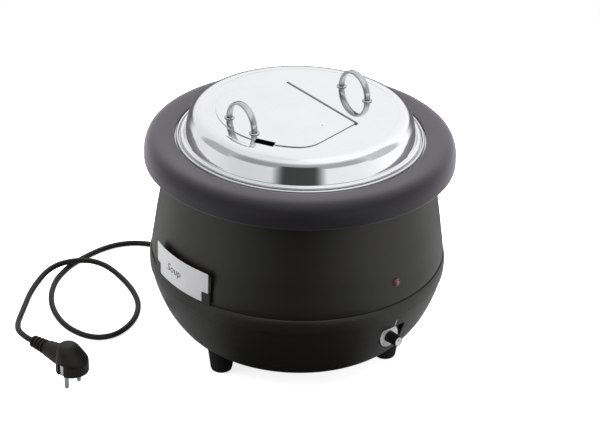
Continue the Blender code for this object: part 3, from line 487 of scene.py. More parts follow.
def extruded_mesh(outline, low, high):
    """Raise a closed outline of (x, y) points from z = low to z = high."""
    build = bmesh.new()
    base = build.faces.new([build.verts.new((x, y, low)) for x, y in outline])
    grown = bmesh.ops.extrude_face_region(build, geom=[base])
    for item in grown["geom"]:
        if isinstance(item, bmesh.types.BMVert):
            item.co.z = high
    return done(build, "extruded")


def box_mesh(low, high, bevel=0.0, segments=2, upright_only=False):
    """A box between two corners, with rounded edges if asked."""
    build = bmesh.new()
    bmesh.ops.create_cube(build, size=1.0)
    for vertex in build.verts:
        vertex.co = [(a + b) / 2 + (b - a) * part for a, b, part in zip(low, high, vertex.co)]
    if bevel:
        edges = list(build.edges)
        if upright_only:
            edges = [e for e in edges if abs(e.verts[0].co.x - e.verts[1].co.x) > 1e-6]
        bmesh.ops.bevel(build, geom=edges, offset=bevel, segments=segments, profile=0.5, affect="EDGES")
    return done(build, "box")


def joined(meshes):
    """One mesh that holds several separate ones."""
    build = bmesh.new()
    for mesh in meshes:
        build.from_mesh(mesh)
    return done(build, "joined")


def carved(mesh, tool, operation="DIFFERENCE"):
    """The mesh after one exact Boolean with another mesh."""
    target = linked(bpy.data.objects.new("target", mesh))
    cutter = linked(bpy.data.objects.new("cutter", tool))
    step = target.modifiers.new("step", "BOOLEAN")
    step.operation = operation
    step.solver = "EXACT"
    step.object = cutter
    graph = bpy.context.evaluated_depsgraph_get()
    made = bpy.data.meshes.new_from_object(target.evaluated_get(graph))
    bpy.data.objects.remove(target)
    bpy.data.objects.remove(cutter)
    return made


def steady_normals(made):
    """Shade large flat faces flat, and the rounded edges between them smoothly."""
    step = made.modifiers.new("steady_normals", "WEIGHTED_NORMAL")
    step.keep_sharp = True
    step.weight = 60
    return made


def moved(mesh, matrix):
    mesh.transform(matrix)
    return mesh


def at(x, y, z):
    return Matrix.Translation((x, y, z))


def spin(angle, axis="Z"):
    return Matrix.Rotation(angle, 4, axis)


def lid_turn():
    return spin(LID_YAW)


def along_x(place=(0.0, 0.0, 0.0)):
    """Matrix that lays a turned piece's axis along +X from a place."""
    return Matrix.Translation(place) @ spin(pi / 2, "Y")


def arc(centre, radius, start, stop, steps):
    """Points on a circular arc, angles in degrees, both ends included."""
    angles = [radians(start + (stop - start) * step / steps) for step in range(steps + 1)]
    return [(centre[0] + radius * cos(a), centre[1] + radius * sin(a)) for a in angles]


def bezier(start, middle, end, t):
    return tuple(start * (1 - t) ** 2 + middle * 2 * t * (1 - t) + end * t * t)


def rounded(path, radius):
    """Round the inner corners of an open path."""
    steps = 5
    spots = [Vector(point) for point in path]
    made = [tuple(spots[0])]
    for before, here, after in zip(spots, spots[1:], spots[2:]):
        into = here - before
        out = after - here
        reach = min(radius, into.length * 0.49, out.length * 0.49)
        start = here - into.normalized() * reach
        end = here + out.normalized() * reach
        made += [bezier(start, here, end, step / steps) for step in range(steps + 1)]
    return made + [tuple(spots[-1])]


def smooth(path, steps=6):
    """Catmull-Rom curve through points of any dimension."""
    knots = [Vector(point) for point in path]
    knots = [2 * knots[0] - knots[1]] + knots + [2 * knots[-1] - knots[-2]]
    made = []
    for a, b, c, d in zip(knots, knots[1:], knots[2:], knots[3:]):
        for step in range(steps):
            t = step / steps
            made.append(0.5 * (2 * b + (c - a) * t + (2 * a - 5 * b + 4 * c - d) * t * t
                               + (3 * b - a - 3 * c + d) * t ** 3))
    return [tuple(point) for point in made + [knots[-2]]]


def even(path, count):
    """Evenly spaced points along a path."""
    spots = np.array([tuple(point) for point in path], float)
    reach = np.concatenate([[0.0], np.cumsum(np.linalg.norm(np.diff(spots, axis=0), axis=1))])
    goals = np.linspace(0.0, reach[-1], count)
    columns = [np.interp(goals, reach, spots[:, axis]) for axis in range(spots.shape[1])]
    return [tuple(float(part) for part in point) for point in zip(*columns)]


def offset(path, thickness):
    """Copy of an open (radius, z) path, moved to its right-hand side."""
    count = len(path)
    made = []
    for index in range(count):
        here = Vector(path[index])
        before = here - Vector(path[max(index - 1, 0)])
        after = Vector(path[min(index + 1, count - 1)]) - here
        before = before.normalized() if before.length > 0 else after.normalized()
        after = after.normalized() if after.length > 0 else before
        middle = (before + after).normalized()
        side = Vector((middle.y, -middle.x))
        stretch = 1.0 / max(side.dot(Vector((before.y, -before.x))), 0.5)
        made.append(tuple(here + side * thickness * stretch))
    return made


# ---------------------------------------------------------------- camera, light and floor


def camera():
    lens = bpy.data.cameras.new("camera")
    lens.lens = 120.0
    lens.sensor_width = 36.0
    lens.shift_x = 0.0034
    lens.shift_y = 0.0166
    lens.clip_end = 50.0
    made = linked(bpy.data.objects.new("camera", lens))
    spot = Vector((1.4526, -1.2942, 1.2266))
    target = Vector((0.0, 0.0, 0.1491))
    made.rotation_mode = "QUATERNION"
    aim = (target - spot).to_track_quat("-Z", "Y")
    made.rotation_quaternion = aim @ Matrix.Rotation(radians(1.69), 3, "Z").to_quaternion()
    made.location = spot
    bpy.context.scene.camera = made


def area_light(name, place, target, size, power):
    """Soft light that brightens surfaces without showing as a hard-edged shape in the polished steel."""
    light = bpy.data.lights.new(name, "AREA")
    light.shape = "RECTANGLE"
    light.size, light.size_y = size
    light.energy = power
    made = linked(bpy.data.objects.new(name, light))
    made.location = place
    made.rotation_mode = "QUATERNION"
    made.rotation_quaternion = (Vector(target) - Vector(place)).to_track_quat("-Z", "Y")
    made.visible_glossy = False


def studio_world():
    """White studio: bright above and behind, dim in front, with a dark gap where the kettle's front faces."""
    world = bpy.data.worlds.new("studio")
    world.use_nodes = True
    bpy.context.scene.world = world
    t = Tree(world.node_tree)

    def fade(value, low, high, start, end):
        return t.span(value, (low, high), (start, end), True)

    direction = t.add("ShaderNodeTexCoord").outputs["Generated"]
    rise = t.split(direction)[2]
    level = t.unit(t.scaled(direction, (1.0, 1.0, 0.0)))
    front = t.towards(level, FRONT_WAY)
    right = t.towards(level, (-FRONT_WAY[1], FRONT_WAY[0]))
    gap = t.times(fade(front, 0.87, 0.975, 0.0, GAP_DEPTH), fade(rise, 0.3, 0.48, 1.0, 0.0))
    band = t.times(fade(front, -0.1, 0.6, 0.0, BAND_DEPTH), fade(rise, 0.45, 0.8, 1.0, 0.0))
    band = t.times(band, fade(rise, 0.06, 0.18, 0.25, 1.0))
    back = t.times(fade(front, -0.85, -0.6, 0.85, 0.0), fade(rise, 0.12, 0.3, 1.0, 0.0))
    height = t.times(fade(rise, -0.05, 0.03, 0.0, 1.0), fade(rise, 0.55, 0.75, 1.0, 0.0))
    dark = t.times(fade(t.math("ABSOLUTE", right), 0.9, 0.97, 0.0, STRIP_DEPTH), height)
    for other in (gap, band, back):
        dark = t.math("MAXIMUM", dark, other)
    light = t.times(t.math("SUBTRACT", 1.0, dark), fade(right, -1.0, 1.0, *SIDE_LEVELS))
    light = t.times(light, fade(rise, 0.5, 0.95, 1.0, OVERHEAD))
    ray = t.add("ShaderNodeLightPath").outputs
    dim = t.times(fade(front, -0.1, 0.85, 0.0, FILL_DEPTH), fade(rise, 0.35, 0.8, 1.0, 0.0))
    dim = t.math("MAXIMUM", dim, fade(rise, 0.1, 0.7, LOW_DEPTH, 0.0))
    light = t.times(light, t.math("SUBTRACT", 1.0, t.times(dim, ray["Is Diffuse Ray"])))
    shade = t.tree.nodes["Background"].inputs
    t.feed(shade["Strength"], t.math("MAXIMUM", light, ray["Is Camera Ray"]))
    shade["Color"].default_value = (1.0, 1.0, 1.0, 1.0)


def floor_disc():
    """Pale round floor, bright to look at and dim enough that it doesn't light the kettle from below."""
    mesh = turned_mesh([(0.0, 0.0), (FLOOR_R, 0.0), (FLOOR_R, -0.02), (0.0, -0.02)], 96)
    n = Nodes("studio_floor", (0.9, 0.9, 0.9), 0.9, sockets={"Specular IOR Level": 0.0})
    paper = n.blend(n.noise(3.0, 2.0), (0.88, 0.88, 0.88), (0.91, 0.91, 0.91))
    seen = n.add("ShaderNodeLightPath").outputs["Is Camera Ray"]
    way = n.towards(n.unit(n.place), FRONT_WAY)
    bounce = n.span(way, (0.55, 0.9), FLOOR_BOUNCE, True)
    bounce = n.math("MINIMUM", bounce, n.span(way, (-0.9, -0.5), (FLOOR_BEHIND, FLOOR_BOUNCE[0]), True))
    n.set("Base Color", n.blend(seen, n.join(bounce, bounce, bounce), paper))
    n.set("Emission Color", (1.0, 1.0, 1.0, 1.0))
    n.set("Emission Strength", n.times(seen, FLOOR_LIFT))
    piece("studio_floor", mesh, n.made, None)


def studio():
    """Camera, soft light, world and a plain floor."""
    camera()
    studio_world()
    area_light("back_box", (-1.05, 0.95, 1.5), (0.0, 0.0, 0.2), (1.6, 1.2), 32.0)
    area_light("right_box", (1.75, 0.45, 0.8), (0.0, 0.0, 0.12), (1.0, 0.8), 8.0)
    area_light("left_box", (-0.9, -1.6, 0.75), (0.0, 0.0, 0.14), (1.0, 0.8), 10.0)
    floor_disc()
    bpy.context.scene.view_settings.view_transform = "Standard"


# ---------------------------------------------------------------- mains lead


def gland_frame():
    """Axis of the gland: out of the bowl's -X side and down along its normal."""
    return spin(pi) @ at(GLAND_SURFACE_R, 0, GLAND_Z) @ spin(pi / 2 + GLAND_DROP, "Y")


def plug_frame():
    """The plug's own frame: origin between its pins' tips, +X towards its head."""
    return at(*PLUG_SPOT, 0) @ spin(PLUG_HEADING)


def mains_lead(rubber):
    """Round lead along the CAD's route, as a curve."""
    out = [gland_frame() @ Vector((0, 0, GLAND_LENGTH + GAP + reach)) for reach in (0.0, LEAD_STRAIGHT)]
    into = [plug_frame() @ Vector((SLEEVE_X[0] - GAP - reach, 0, PLUG_AXIS_Z))
            for reach in (LEAD_STRAIGHT, 0.0)]
    points = even(smooth([tuple(p) for p in out] + CORD_ROUTE + [tuple(p) for p in into], 24), 300)
    line = bpy.data.curves.new("mains_cord", "CURVE")
    line.dimensions = "3D"
    line.bevel_depth = CORD_R
    line.bevel_resolution = 6
    line.use_fill_caps = True
    spline = line.splines.new("POLY")
    spline.points.add(len(points) - 1)
    for item, place in zip(spline.points, points):
        item.co = (*place, 1.0)
        item.radius = 1.0
    line.materials.append(rubber)
    made = linked(bpy.data.objects.new("mains_cord", line))
    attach(made, "base")
    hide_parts("mains_lead")
    return made, points[0]


def strain_relief(rubber):
    """Tapered strain relief with flex grooves turned all the way round it."""
    body = [(0.0, GLAND_LENGTH), (0.004, GLAND_LENGTH), (0.0044, GLAND_LENGTH - 0.0006)]
    ribs = 9
    for index in range(ribs):
        top = GLAND_LENGTH - 0.0014 - index * 0.0024
        radius = 0.00455 + 0.00025 * index
        body += [(radius, top), (radius, top - 0.0013),
                 (radius - 0.0011, top - 0.0014), (radius - 0.0011, top - 0.0023)]
    body += [(0.0067, 0.0066), (0.0092, 0.006), (0.0095, 0.0052), (0.0095, 0.0009), (0.006, 0.0009),
             (0.006, -0.008), (0.0, -0.008)]
    mesh = turned_mesh(body, 48)
    return piece("strain_relief", mesh, rubber, "base", ["cord_gland"], gland_frame())


def plug_head_mesh():
    """Round foot with grip flutes under a hump whose front slopes back."""
    sections = [(0.019, 0.0, 0.017, 0.017)] + smooth(PLUG_SECTIONS, 5)
    sides = 144
    build = bmesh.new()
    rings = []
    for height, middle, half_length, half_width in sections:
        ring = []
        for step in range(sides):
            angle = 2 * pi * step / sides
            grip = 0.00035 * (0.5 + 0.5 * cos(36 * angle)) if 0.0215 < height < 0.03 else 0.0
            ring.append(build.verts.new((middle + (half_length - grip) * cos(angle),
                                         (half_width - grip) * sin(angle), height)))
        rings.append(ring)
    return lofted(build, rings, "plug_head")


def plug_pieces(rubber, steel):
    """Angled plug: fluted foot and sloping hump, thick neck, ribbed sleeve, earth clips and two pins."""
    frame = plug_frame()
    neck_axis = along_x((0, 0, PLUG_AXIS_Z))
    end = SLEEVE_X[1] + GAP
    neck = [(0, -0.004)] + smooth([(0.0125, -0.004), (0.0124, -0.012), (0.0118, -0.019), (0.0108, -0.026),
                                   (0.0098, -0.032), (0.0094, end)], 4) + [(0, end)]
    body = carved(plug_head_mesh(), moved(turned_mesh(neck, 64), neck_axis), "UNION")
    notch = [box_mesh((-0.0042, side * 0.0187 - 0.0029, 0.017),
                      (0.0042, side * 0.0187 + 0.0029, 0.0335), 0.0006) for side in (-1, 1)]
    body = carved(body, joined(notch))
    piece("plug_head", body, rubber, "base", ["plug_body"], frame, 42.0)
    for label, side in (("left", 1), ("right", -1)):
        clip = box_mesh((-0.0024, side * 0.01625 - 0.0003, 0.0196),
                        (0.0024, side * 0.01625 + 0.0003, 0.0318), 0.0002)
        piece("earth_clip_" + label, clip, steel, "base", (), frame)
        pin = [(0.0, 0.0187), (0.0024, 0.0187), (0.0024, 0.0026), (0.0023, 0.0017), (0.0019, 0.0008),
               (0.0012, 0.0002), (0.0, 0.0)]
        place = frame @ at(0, side * 0.0095, 0)
        piece("plug_contact_" + label, turned_mesh(pin, 32), steel, "base", ["plug_pin_" + label],
              place)

    length = SLEEVE_X[1] - SLEEVE_X[0]
    sleeve = [(0, SLEEVE_X[1]), (0.0082, SLEEVE_X[1]), (0.0086, SLEEVE_X[1] - 0.0004)]
    ribs = 5
    for index in range(ribs):
        start = SLEEVE_X[1] - length * (index + 0.08) / ribs
        back = SLEEVE_X[1] - length * (index + 0.55) / ribs
        end = SLEEVE_X[1] - length * (index + 0.98) / ribs
        radius = 0.0086 - 0.00042 * index
        sleeve += [(radius - 0.0003, start), (radius, start - 0.0005), (radius, back + 0.0004),
                   (radius - 0.0004, back), (radius - 0.002, back - 0.0003), (radius - 0.0021, end)]
    sleeve += [(0.0042, SLEEVE_X[0]), (0, SLEEVE_X[0])]
    piece("plug_flex_sleeve", turned_mesh(sleeve, 48), rubber, "base", ["plug_sleeve"],
          frame @ neck_axis)


# ---------------------------------------------------------------- casing


def collar(plastic):
    """Rounded collar with a smooth crown and a thin inner lip."""
    coarse = [(0.1366, 0.2575), (0.1376, 0.2584), (0.146, 0.2594), (0.156, 0.26), (0.162, 0.2585),
              (0.1668, 0.2545), (0.1692, 0.249), (0.17, 0.243), (0.17, 0.235), (0.169, 0.2335),
              (0.1486, 0.2335)]
    crown = smooth([(0.1372, 0.2583), (0.14, 0.2588), (0.148, 0.2596), (0.155, 0.2599), (0.16, 0.2592),
                    (0.164, 0.2572), (0.1668, 0.2542), (0.1686, 0.2502), (0.1697, 0.2455), (0.17, 0.2405),
                    (0.17, 0.2365)], 8)
    outer = [(0.1366, 0.2575), (0.1368, 0.258)] + crown
    outer += [(0.17, 0.2345), (0.1698, 0.2336), (0.1697, 0.2335), (0.1486, 0.2335)]
    outline = outer + offset(coarse, CASING_SHEET)[::-1]
    piece("collar", turned_mesh(outline, 208), plastic, "base", ["collar_ring"])


def casing(coating):
    """Tapered upper shell with the lamp's hole; its lower edge tucks behind the bowl's rim."""
    flange = [(0.14, 0.2551), (0.1474, 0.2551), (0.148, 0.2545)]
    upper = [(0.148, 0.23), (0.1505, 0.207), (0.1541, 0.1822), (0.1571, 0.1638), (0.1598, 0.1453)]
    wall = [(0.148, 0.254)] + upper + [(0.1614, 0.135), (0.1622, 0.129), (0.1624, 0.126), (0.1623, 0.1235),
                                         (0.1621, 0.1215), (0.162, 0.119), (0.162, 0.108)]
    coarse = [(0.14, 0.2551), (0.148, 0.2551)] + upper + [(0.1617, 0.133), (0.162, 0.126),
                                                             (0.162, 0.119), (0.162, 0.108)]
    mesh = turned_mesh(flange + smooth(wall, 6) + offset(coarse, CASING_SHEET)[::-1])
    hole = moved(rod_mesh(0.0041, 0.15, 0.17), along_x((0, 0, LAMP_Z)))
    piece("casing_upper", carved(mesh, hole), coating, "base", ["upper_casing"])


def foot_place(angle):
    turn = radians(angle)
    spot = at(FOOT_RING_R * cos(turn), FOOT_RING_R * sin(turn), 0)
    return spot @ spin(radians(7))


def rod_mesh(radius, low, high, steps=32):
    return turned_mesh([(0, high), (radius, high), (radius, low), (0, low)], steps)


def foot_holes():
    return [moved(rod_mesh(0.0022, *FLAT_CUT_Z), foot_place(angle)) for angle in FOOT_ANGLES.values()]


def bowl(coating):
    """Lower shell: rounded rim, pressed crease, the knob's pocket and the holes."""
    coarse = [(0.1643, 0.1207), (0.1645, 0.11), (0.1638, 0.102), (0.16, 0.089), (0.156, 0.077),
              (0.15, 0.0628), (0.1425, 0.05), (0.134, 0.0385), (0.127, 0.0318), (0.121, 0.0296),
              (0.1, 0.0296)]
    rim = [(0.1623, 0.1202), (0.1627, 0.1205), (0.1632, 0.1201), (0.1638, 0.1191), (0.1643, 0.1176)]
    band = smooth([(0.1646, 0.1162), (0.1648, 0.113), (0.1647, 0.108), (0.1643, 0.104)], 5)
    crease = [(0.1641, 0.1033), (0.1636, 0.1028), (0.16315, 0.1023), (0.16305, 0.1017)]
    belly = smooth([(0.16305, 0.101), (0.16, 0.0889), (0.156, 0.0772), (0.15, 0.063), (0.1425, 0.0502),
                    (0.134, 0.0389), (0.127, 0.0322), (0.121, 0.0297)], 7)
    outer = smooth(rim, 3) + band + crease + belly + [(0.118, 0.0296), (0.1, 0.0296)]
    inner = offset(coarse, CASING_SHEET)
    inner[0] = (0.1623, 0.1198)
    mesh = turned_mesh(outer + inner[::-1])
    edge = 0.0012
    pan = box_mesh((POCKET_FLOOR_X - edge, -POCKET_HALF - edge, POCKET_BOTTOM_Z),
                   (0.17, POCKET_HALF + edge, POCKET_TOP_Z + edge), 0.0042, 6, True)
    limit = [(0, 0.119)] + [(r - 0.0002, z) for r, z in band + crease + belly] + [(0, 0.0297)]
    pan = carved(pan, turned_mesh(limit), "INTERSECT")
    mesh = carved(mesh, pan, "UNION")
    hollow = box_mesh((POCKET_FLOOR_X, -POCKET_HALF, POCKET_BOTTOM_Z - 0.004),
                      (0.175, POCKET_HALF, POCKET_TOP_Z), 0.0032, 6, True)
    mesh = carved(mesh, hollow)
    holes = [moved(rod_mesh(0.0055, 0.14, 0.16), along_x((0, 0, KNOB_Z))),
             moved(rod_mesh(0.0063, -0.012, 0.006), gland_frame())]
    mesh = carved(mesh, joined(holes + foot_holes()))
    piece("casing_bowl", mesh, coating, "base", ["lower_bowl"], sharp=32.0)


def bottom_plate(steel):
    """Plain steel disc with round vents and screw holes."""
    disc = [(0, 0.0293), (0.1184, 0.0293), (0.119, 0.029), (0.119, 0.0284), (0.1184, 0.0281), (0, 0.0281)]
    holes = foot_holes()
    for index in range(8):
        turn = 2 * pi * index / 8
        spot = at(0.06 * cos(turn), 0.06 * sin(turn), 0)
        holes.append(moved(rod_mesh(0.005, *FLAT_CUT_Z), spot))
    mesh = carved(turned_mesh(disc, 144), joined(holes))
    piece("bottom_plate", mesh, steel, "base", ["base_plate"])


def rubber_feet(rubber):
    """Tapered feet with a rounded sole, a recess and a raised ring."""
    top = 0.0281 - GAP
    outline = [(0.0022, top), (0.015, top), (0.0155, top - 0.0005), (0.0154, 0.025), (0.0149, 0.024),
               (0.0148, 0.0225), (0.0136, 0.014), (0.0124, 0.0045), (0.0121, 0.0025), (0.0115, 0.0009),
               (0.0105, 0.0001), (0.0095, 0.0), (0.0056, 0.0), (0.005, 0.0006), (0.005, 0.012),
               (0.0022, 0.012)]
    for label, angle in FOOT_ANGLES.items():
        piece("rubber_foot_" + label, turned_mesh(outline, 48), rubber, "base", ["foot_" + label],
              foot_place(angle))


# ---------------------------------------------------------------- basin, pot and lid


def basin(steel):
    """Deep water basin hung by its flange."""
    corner = arc((BASIN_R - BASIN_CORNER, BASIN_BOTTOM_Z + BASIN_CORNER), BASIN_CORNER, 0, -90, 14)
    path = [(0.144, 0.2562), (0.1298, 0.2562), (0.1288, 0.2561), (0.1281, 0.2557), (BASIN_R, 0.2548)]
    path += corner + [(0.0, BASIN_BOTTOM_Z)]
    below = offset(path, -SHEET)
    below[-1] = (0.0, below[-1][1])
    piece("basin", turned_mesh(path + below[::-1]), steel, "base", ["water_basin"])


def pot(steel):
    """Lift-out pot with a rolled rim."""
    bead = arc((0.1336, POT_RIM_Z), BEAD, 180, -140, 18)
    middle = (POT_R - POT_CORNER, POT_BOTTOM_Z + POT_CORNER)
    corner = arc(middle, POT_CORNER, 0, -90, 14)
    below = arc(middle, POT_CORNER + SHEET, 0, -90, 14)
    inner = [(0.0, POT_BOTTOM_Z)] + corner[::-1] + [(POT_R, 0.2525)]
    inner += rounded([(POT_R, 0.2538), (0.122, 0.257), (0.1245, 0.258), (0.13, 0.258)], 0.0014)
    inner += [(0.1304, 0.2579), (0.1306, 0.25755), (0.1316, 0.25755), (0.1319, 0.2578)]
    outer = [(0.125, 0.2572), (0.1225, 0.256), (0.1213, 0.254)]
    outline = inner + bead + outer + below + [(0.0, 0.0672)]
    piece("pot", turned_mesh(outline, 208), steel, "pot", ["insert_pot"])


def flap_right(inset):
    """Right-hand half of the flap's outline, front to back, drawn in by an inset."""
    radius = FLAP_R - inset
    rear = Vector((HINGE_HALF + 0.0005 - inset, HINGE_Y - KNUCKLE_R - 0.0004))
    reach = -rear.dot(FLAP_SIDE) + sqrt(rear.dot(FLAP_SIDE) ** 2 + radius ** 2 - rear.length_squared)
    meet = rear + FLAP_SIDE * reach
    before = meet - FLAP_SIDE * FLAP_CORNER
    after_angle = degrees(atan2(meet.y, meet.x)) - degrees(FLAP_CORNER / radius)
    after = Vector(arc((0, 0), radius, after_angle, after_angle, 1)[0])
    bend = []
    for step in range(1, 16):
        bend.append(bezier(after, meet, before, step / 16))
    return arc((0, 0), radius, -90, after_angle, 40) + bend + [tuple(before), tuple(rear)]


def flap_outline(inset=0.0):
    right = flap_right(inset)
    return right + [(-x, y) for x, y in reversed(right[1:])]


def screw_holes(middle):
    """Cutter for the two screws of a handle."""
    spots = [at(middle[0] + side * HANDLE_R, middle[1], 0) for side in (-1, 1)]
    return joined([moved(rod_mesh(0.0019, *LID_CUT_Z, 24), spot) for spot in spots])


def slot_cutter(inner_r):
    mesh = box_mesh((inner_r, -SLOT_LENGTH / 2, LID_CUT_Z[0]), (SLOT_R[1], SLOT_LENGTH / 2, LID_CUT_Z[1]))
    return moved(mesh, spin(SLOT_ANGLE))


def lid(steel, dark):
    """Domed lid: rolled edge, leaning wall, round shoulder, dished ring and the flap's opening."""
    bead = arc((0.1292, POT_RIM_Z + GAP + BEAD), BEAD, -130, 130, 18)
    wall = smooth([(0.1276, 0.261), (0.1268, 0.2613), (0.1263, 0.2622), (0.1257, 0.2645), (0.1248, 0.268),
                   (0.1239, 0.2715), (0.123, 0.2752), (0.1221, 0.2786), (0.1208, 0.2816), (0.119, 0.2843),
                   (0.1165, 0.2864), (0.1133, 0.2878), (0.1095, 0.2884), (0.106, 0.28848), (0.104, 0.28836),
                   (0.103, 0.2885)], 7)
    flat = [(radius, LID_TOP_Z) for radius in (0.1026, 0.101, 0.099, 0.0965)]
    coarse = [(0.0, LID_TOP_Z), (0.106, LID_TOP_Z)] + smooth([
        (0.1098, 0.2884), (0.1133, 0.2878), (0.1165, 0.2864), (0.119, 0.2843), (0.1208, 0.2816),
        (0.1221, 0.2786), (0.1239, 0.2715), (0.1257, 0.2645), (0.1266, 0.2612)], 3)
    under = offset(coarse, SHEET)
    outline = [(0.0, LID_TOP_Z)] + flat[::-1] + wall[::-1] + bead[::-1] + under[::-1]
    mesh = turned_mesh(outline, 224)
    mesh = carved(mesh, extruded_mesh(flap_outline(LEDGE), *LID_CUT_Z))
    mesh = carved(mesh, box_mesh((-HINGE_HALF - 0.002, HINGE_Y - 0.003, LID_CUT_Z[0]),
                                 (HINGE_HALF + 0.002, HINGE_Y + 0.0018, LID_CUT_Z[1])))
    mesh = carved(carved(mesh, slot_cutter(SLOT_R[0] - 0.006)), screw_holes(REAR_HANDLE))
    steady_normals(piece("lid_dome", mesh, steel, "lid", ["lid_shell"], lid_turn(), 30.0))
    spot = lid_turn() @ spin(radians(-119.5))
    spot = spot @ at(0.1199, 0, 0.2829) @ spin(radians(55.0), "Y")
    stop = [(0.0, 0.0005), (0.0007, 0.0004), (0.001, 0.0), (0.001, -0.0002), (0.0, -0.0002)]
    piece("lid_rivet", turned_mesh(stop, 20), dark, "lid", (), spot)


def knuckle_mesh(index):
    pitch = 2 * HINGE_HALF / 5
    low = -HINGE_HALF + pitch * index + 0.0002
    high = low + pitch - 0.0004
    ring = [(KNUCKLE_BORE_R, high), (KNUCKLE_R - 0.0001, high), (KNUCKLE_R, high - 0.0001),
            (KNUCKLE_R, low + 0.0001), (KNUCKLE_R - 0.0001, low), (KNUCKLE_BORE_R, low)]
    return moved(turned_mesh(ring, 24), along_x((0, HINGE_Y, HINGE_Z))), low, high


def flap(steel, dark, hinge):
    """Hinged flap with a soft edge, two rolled knuckles, the ladle notch and a small rivet."""
    low = LID_TOP_Z + GAP
    high = low + SHEET
    mesh = extruded_mesh(flap_outline(), low, high)
    build = opened(mesh)
    rims = [e for e in build.edges if abs(e.verts[0].co.z - e.verts[1].co.z) < 1e-7]
    bmesh.ops.bevel(build, geom=rims, offset=0.00022, segments=3, profile=0.5, affect="EDGES")
    done(build, "", mesh)
    for index in (1, 3):
        barrel, start, end = knuckle_mesh(index)
        bridge = box_mesh((start + 0.0003, HINGE_Y - KNUCKLE_R - 0.0003, low + 0.0001),
                          (end - 0.0003, HINGE_Y - KNUCKLE_BORE_R - 0.0002, high - 0.0001))
        piece("flap_knuckle_%d" % index, carved(barrel, bridge, "UNION"), hinge, "flap", (),
              lid_turn())
    mesh = carved(carved(mesh, slot_cutter(SLOT_R[0])), screw_holes(FRONT_HANDLE))
    steady_normals(piece("flap_sheet", mesh, steel, "flap", ["lid_flap"], lid_turn(), 30.0))
    stop = [(0.0, 0.0003), (0.0005, 0.00025), (0.0008, 0.0), (0.0, 0.0)]
    spot = lid_turn() @ at(0.046, -0.0068, high)
    piece("flap_rivet", turned_mesh(stop, 20), dark, "flap", (), spot)


def hinge_leaf(steel):
    """Leaf under the lid's flat with three knuckles on webs."""
    top = LID_TOP_Z - SHEET - GAP
    low = top - 0.0008
    mesh = box_mesh((-HINGE_HALF, HINGE_Y + 0.0004, low), (HINGE_HALF, HINGE_Y + 0.013, top), 0.00012)
    for index in (0, 2, 4):
        barrel, start, end = knuckle_mesh(index)
        web = box_mesh((start + 0.0003, HINGE_Y + 0.0006, low + 0.0002),
                       (end - 0.0003, HINGE_Y + 0.0014, HINGE_Z - 0.0008))
        mesh = carved(mesh, web, "UNION")
        mesh = carved(mesh, barrel, "UNION")
    leaf = piece("hinge_leaf", mesh, steel, "lid", ["lid_hinge_leaf"], lid_turn(), 32.0)
    steady_normals(leaf)
    end = HINGE_HALF + 0.0003
    pin = [(0, end + 0.001), (0.0008, end + 0.0009), (0.0013, end + 0.0006), (0.0015, end + 0.0002),
           (0.0015, end), (0.0007, end), (0.0007, -HINGE_HALF), (0, -HINGE_HALF)]
    piece("hinge_rod", turned_mesh(pin, 24), steel, "lid", ["hinge_pin"],
          lid_turn() @ along_x((0, HINGE_Y, HINGE_Z)))


def band_mesh(path):
    """Rounded flat band swept along (x, z) points, wide along Y; it narrows a little at its two ends."""
    sides = 40
    build = bmesh.new()
    rings = []
    last = len(path) - 1
    for index, (x, z) in enumerate(path):
        along = (Vector(path[min(index + 1, last)]) - Vector(path[max(index - 1, 0)])).normalized()
        shrink = 0.94 if index in (0, last) else 1.0
        ring = []
        for step in range(sides):
            turn = 2 * pi * (step + 0.5) / sides
            wide, thick = cos(turn), sin(turn)
            wide = copysign(abs(wide) ** 0.86, wide) * HANDLE_HALF_WIDTH * shrink
            out = copysign(abs(thick) ** 0.9, thick) * HANDLE_HALF_THICK * shrink
            ring.append(build.verts.new((x - along.y * out, wide, z + along.x * out)))
        rings.append(ring)
    return lofted(build, rings, "band")


def handle(label, middle, sheet_top, body, steel, hardware):
    """Arched band on two dished washers, with screws from below."""
    foot = sheet_top + GAP + 0.001 + GAP
    crown = foot + HANDLE_LEG
    rise = [(x, crown + z) for x, z in arc((0, 0), HANDLE_R, 180, 0, 64)]
    path = [(-HANDLE_R, foot), (-HANDLE_R, foot + 0.0002)] + rise
    path += [(HANDLE_R, foot + 0.0002), (HANDLE_R, foot)]
    turn = lid_turn() @ at(*middle, 0)
    piece(label + "_grip", band_mesh(path), steel, body, [label + "_handle"], turn)
    bottom = sheet_top - SHEET - GAP
    top = foot - GAP
    screw = [(0, top), (0.0015, top), (0.0015, bottom), (0.004, bottom), (0.0038, bottom - 0.001),
             (0.0028, bottom - 0.0019), (0.0014, bottom - 0.0022), (0, bottom - 0.0022)]
    washer = [(0.0019, top), (0.0043, top), (0.005, top - 0.0002), (0.0055, top - 0.0007),
              (0.0055, top - 0.001), (0.0019, top - 0.001)]
    for side, x in (("left", -HANDLE_R), ("right", HANDLE_R)):
        place = turn @ at(x, 0, 0)
        for kind, outline, steps, finish, slot in (("washer", washer, 36, steel, "polished_steel"),
                                                   ("screw", screw, 28, hardware, "plain_steel")):
            node = "%s_handle_%s_%s" % (label, kind, side)
            piece(node.replace("_handle", ""), turned_mesh(outline, steps), finish, body, [node], place)


# ---------------------------------------------------------------- controls and label


def glyphs(text, height, thickness, slant=0.0):
    """Raised letters or digits as a mesh in the XY plane, centred on the origin."""
    line = bpy.data.curves.new("glyphs", "FONT")
    line.body = text
    line.size = height
    line.shear = slant
    line.extrude = thickness / 2
    line.align_x = "CENTER"
    line.align_y = "CENTER"
    line.resolution_u = 4
    holder = linked(bpy.data.objects.new("glyphs", line))
    graph = bpy.context.evaluated_depsgraph_get()
    mesh = bpy.data.meshes.new_from_object(holder.evaluated_get(graph))
    bpy.data.objects.remove(holder)
    return mesh


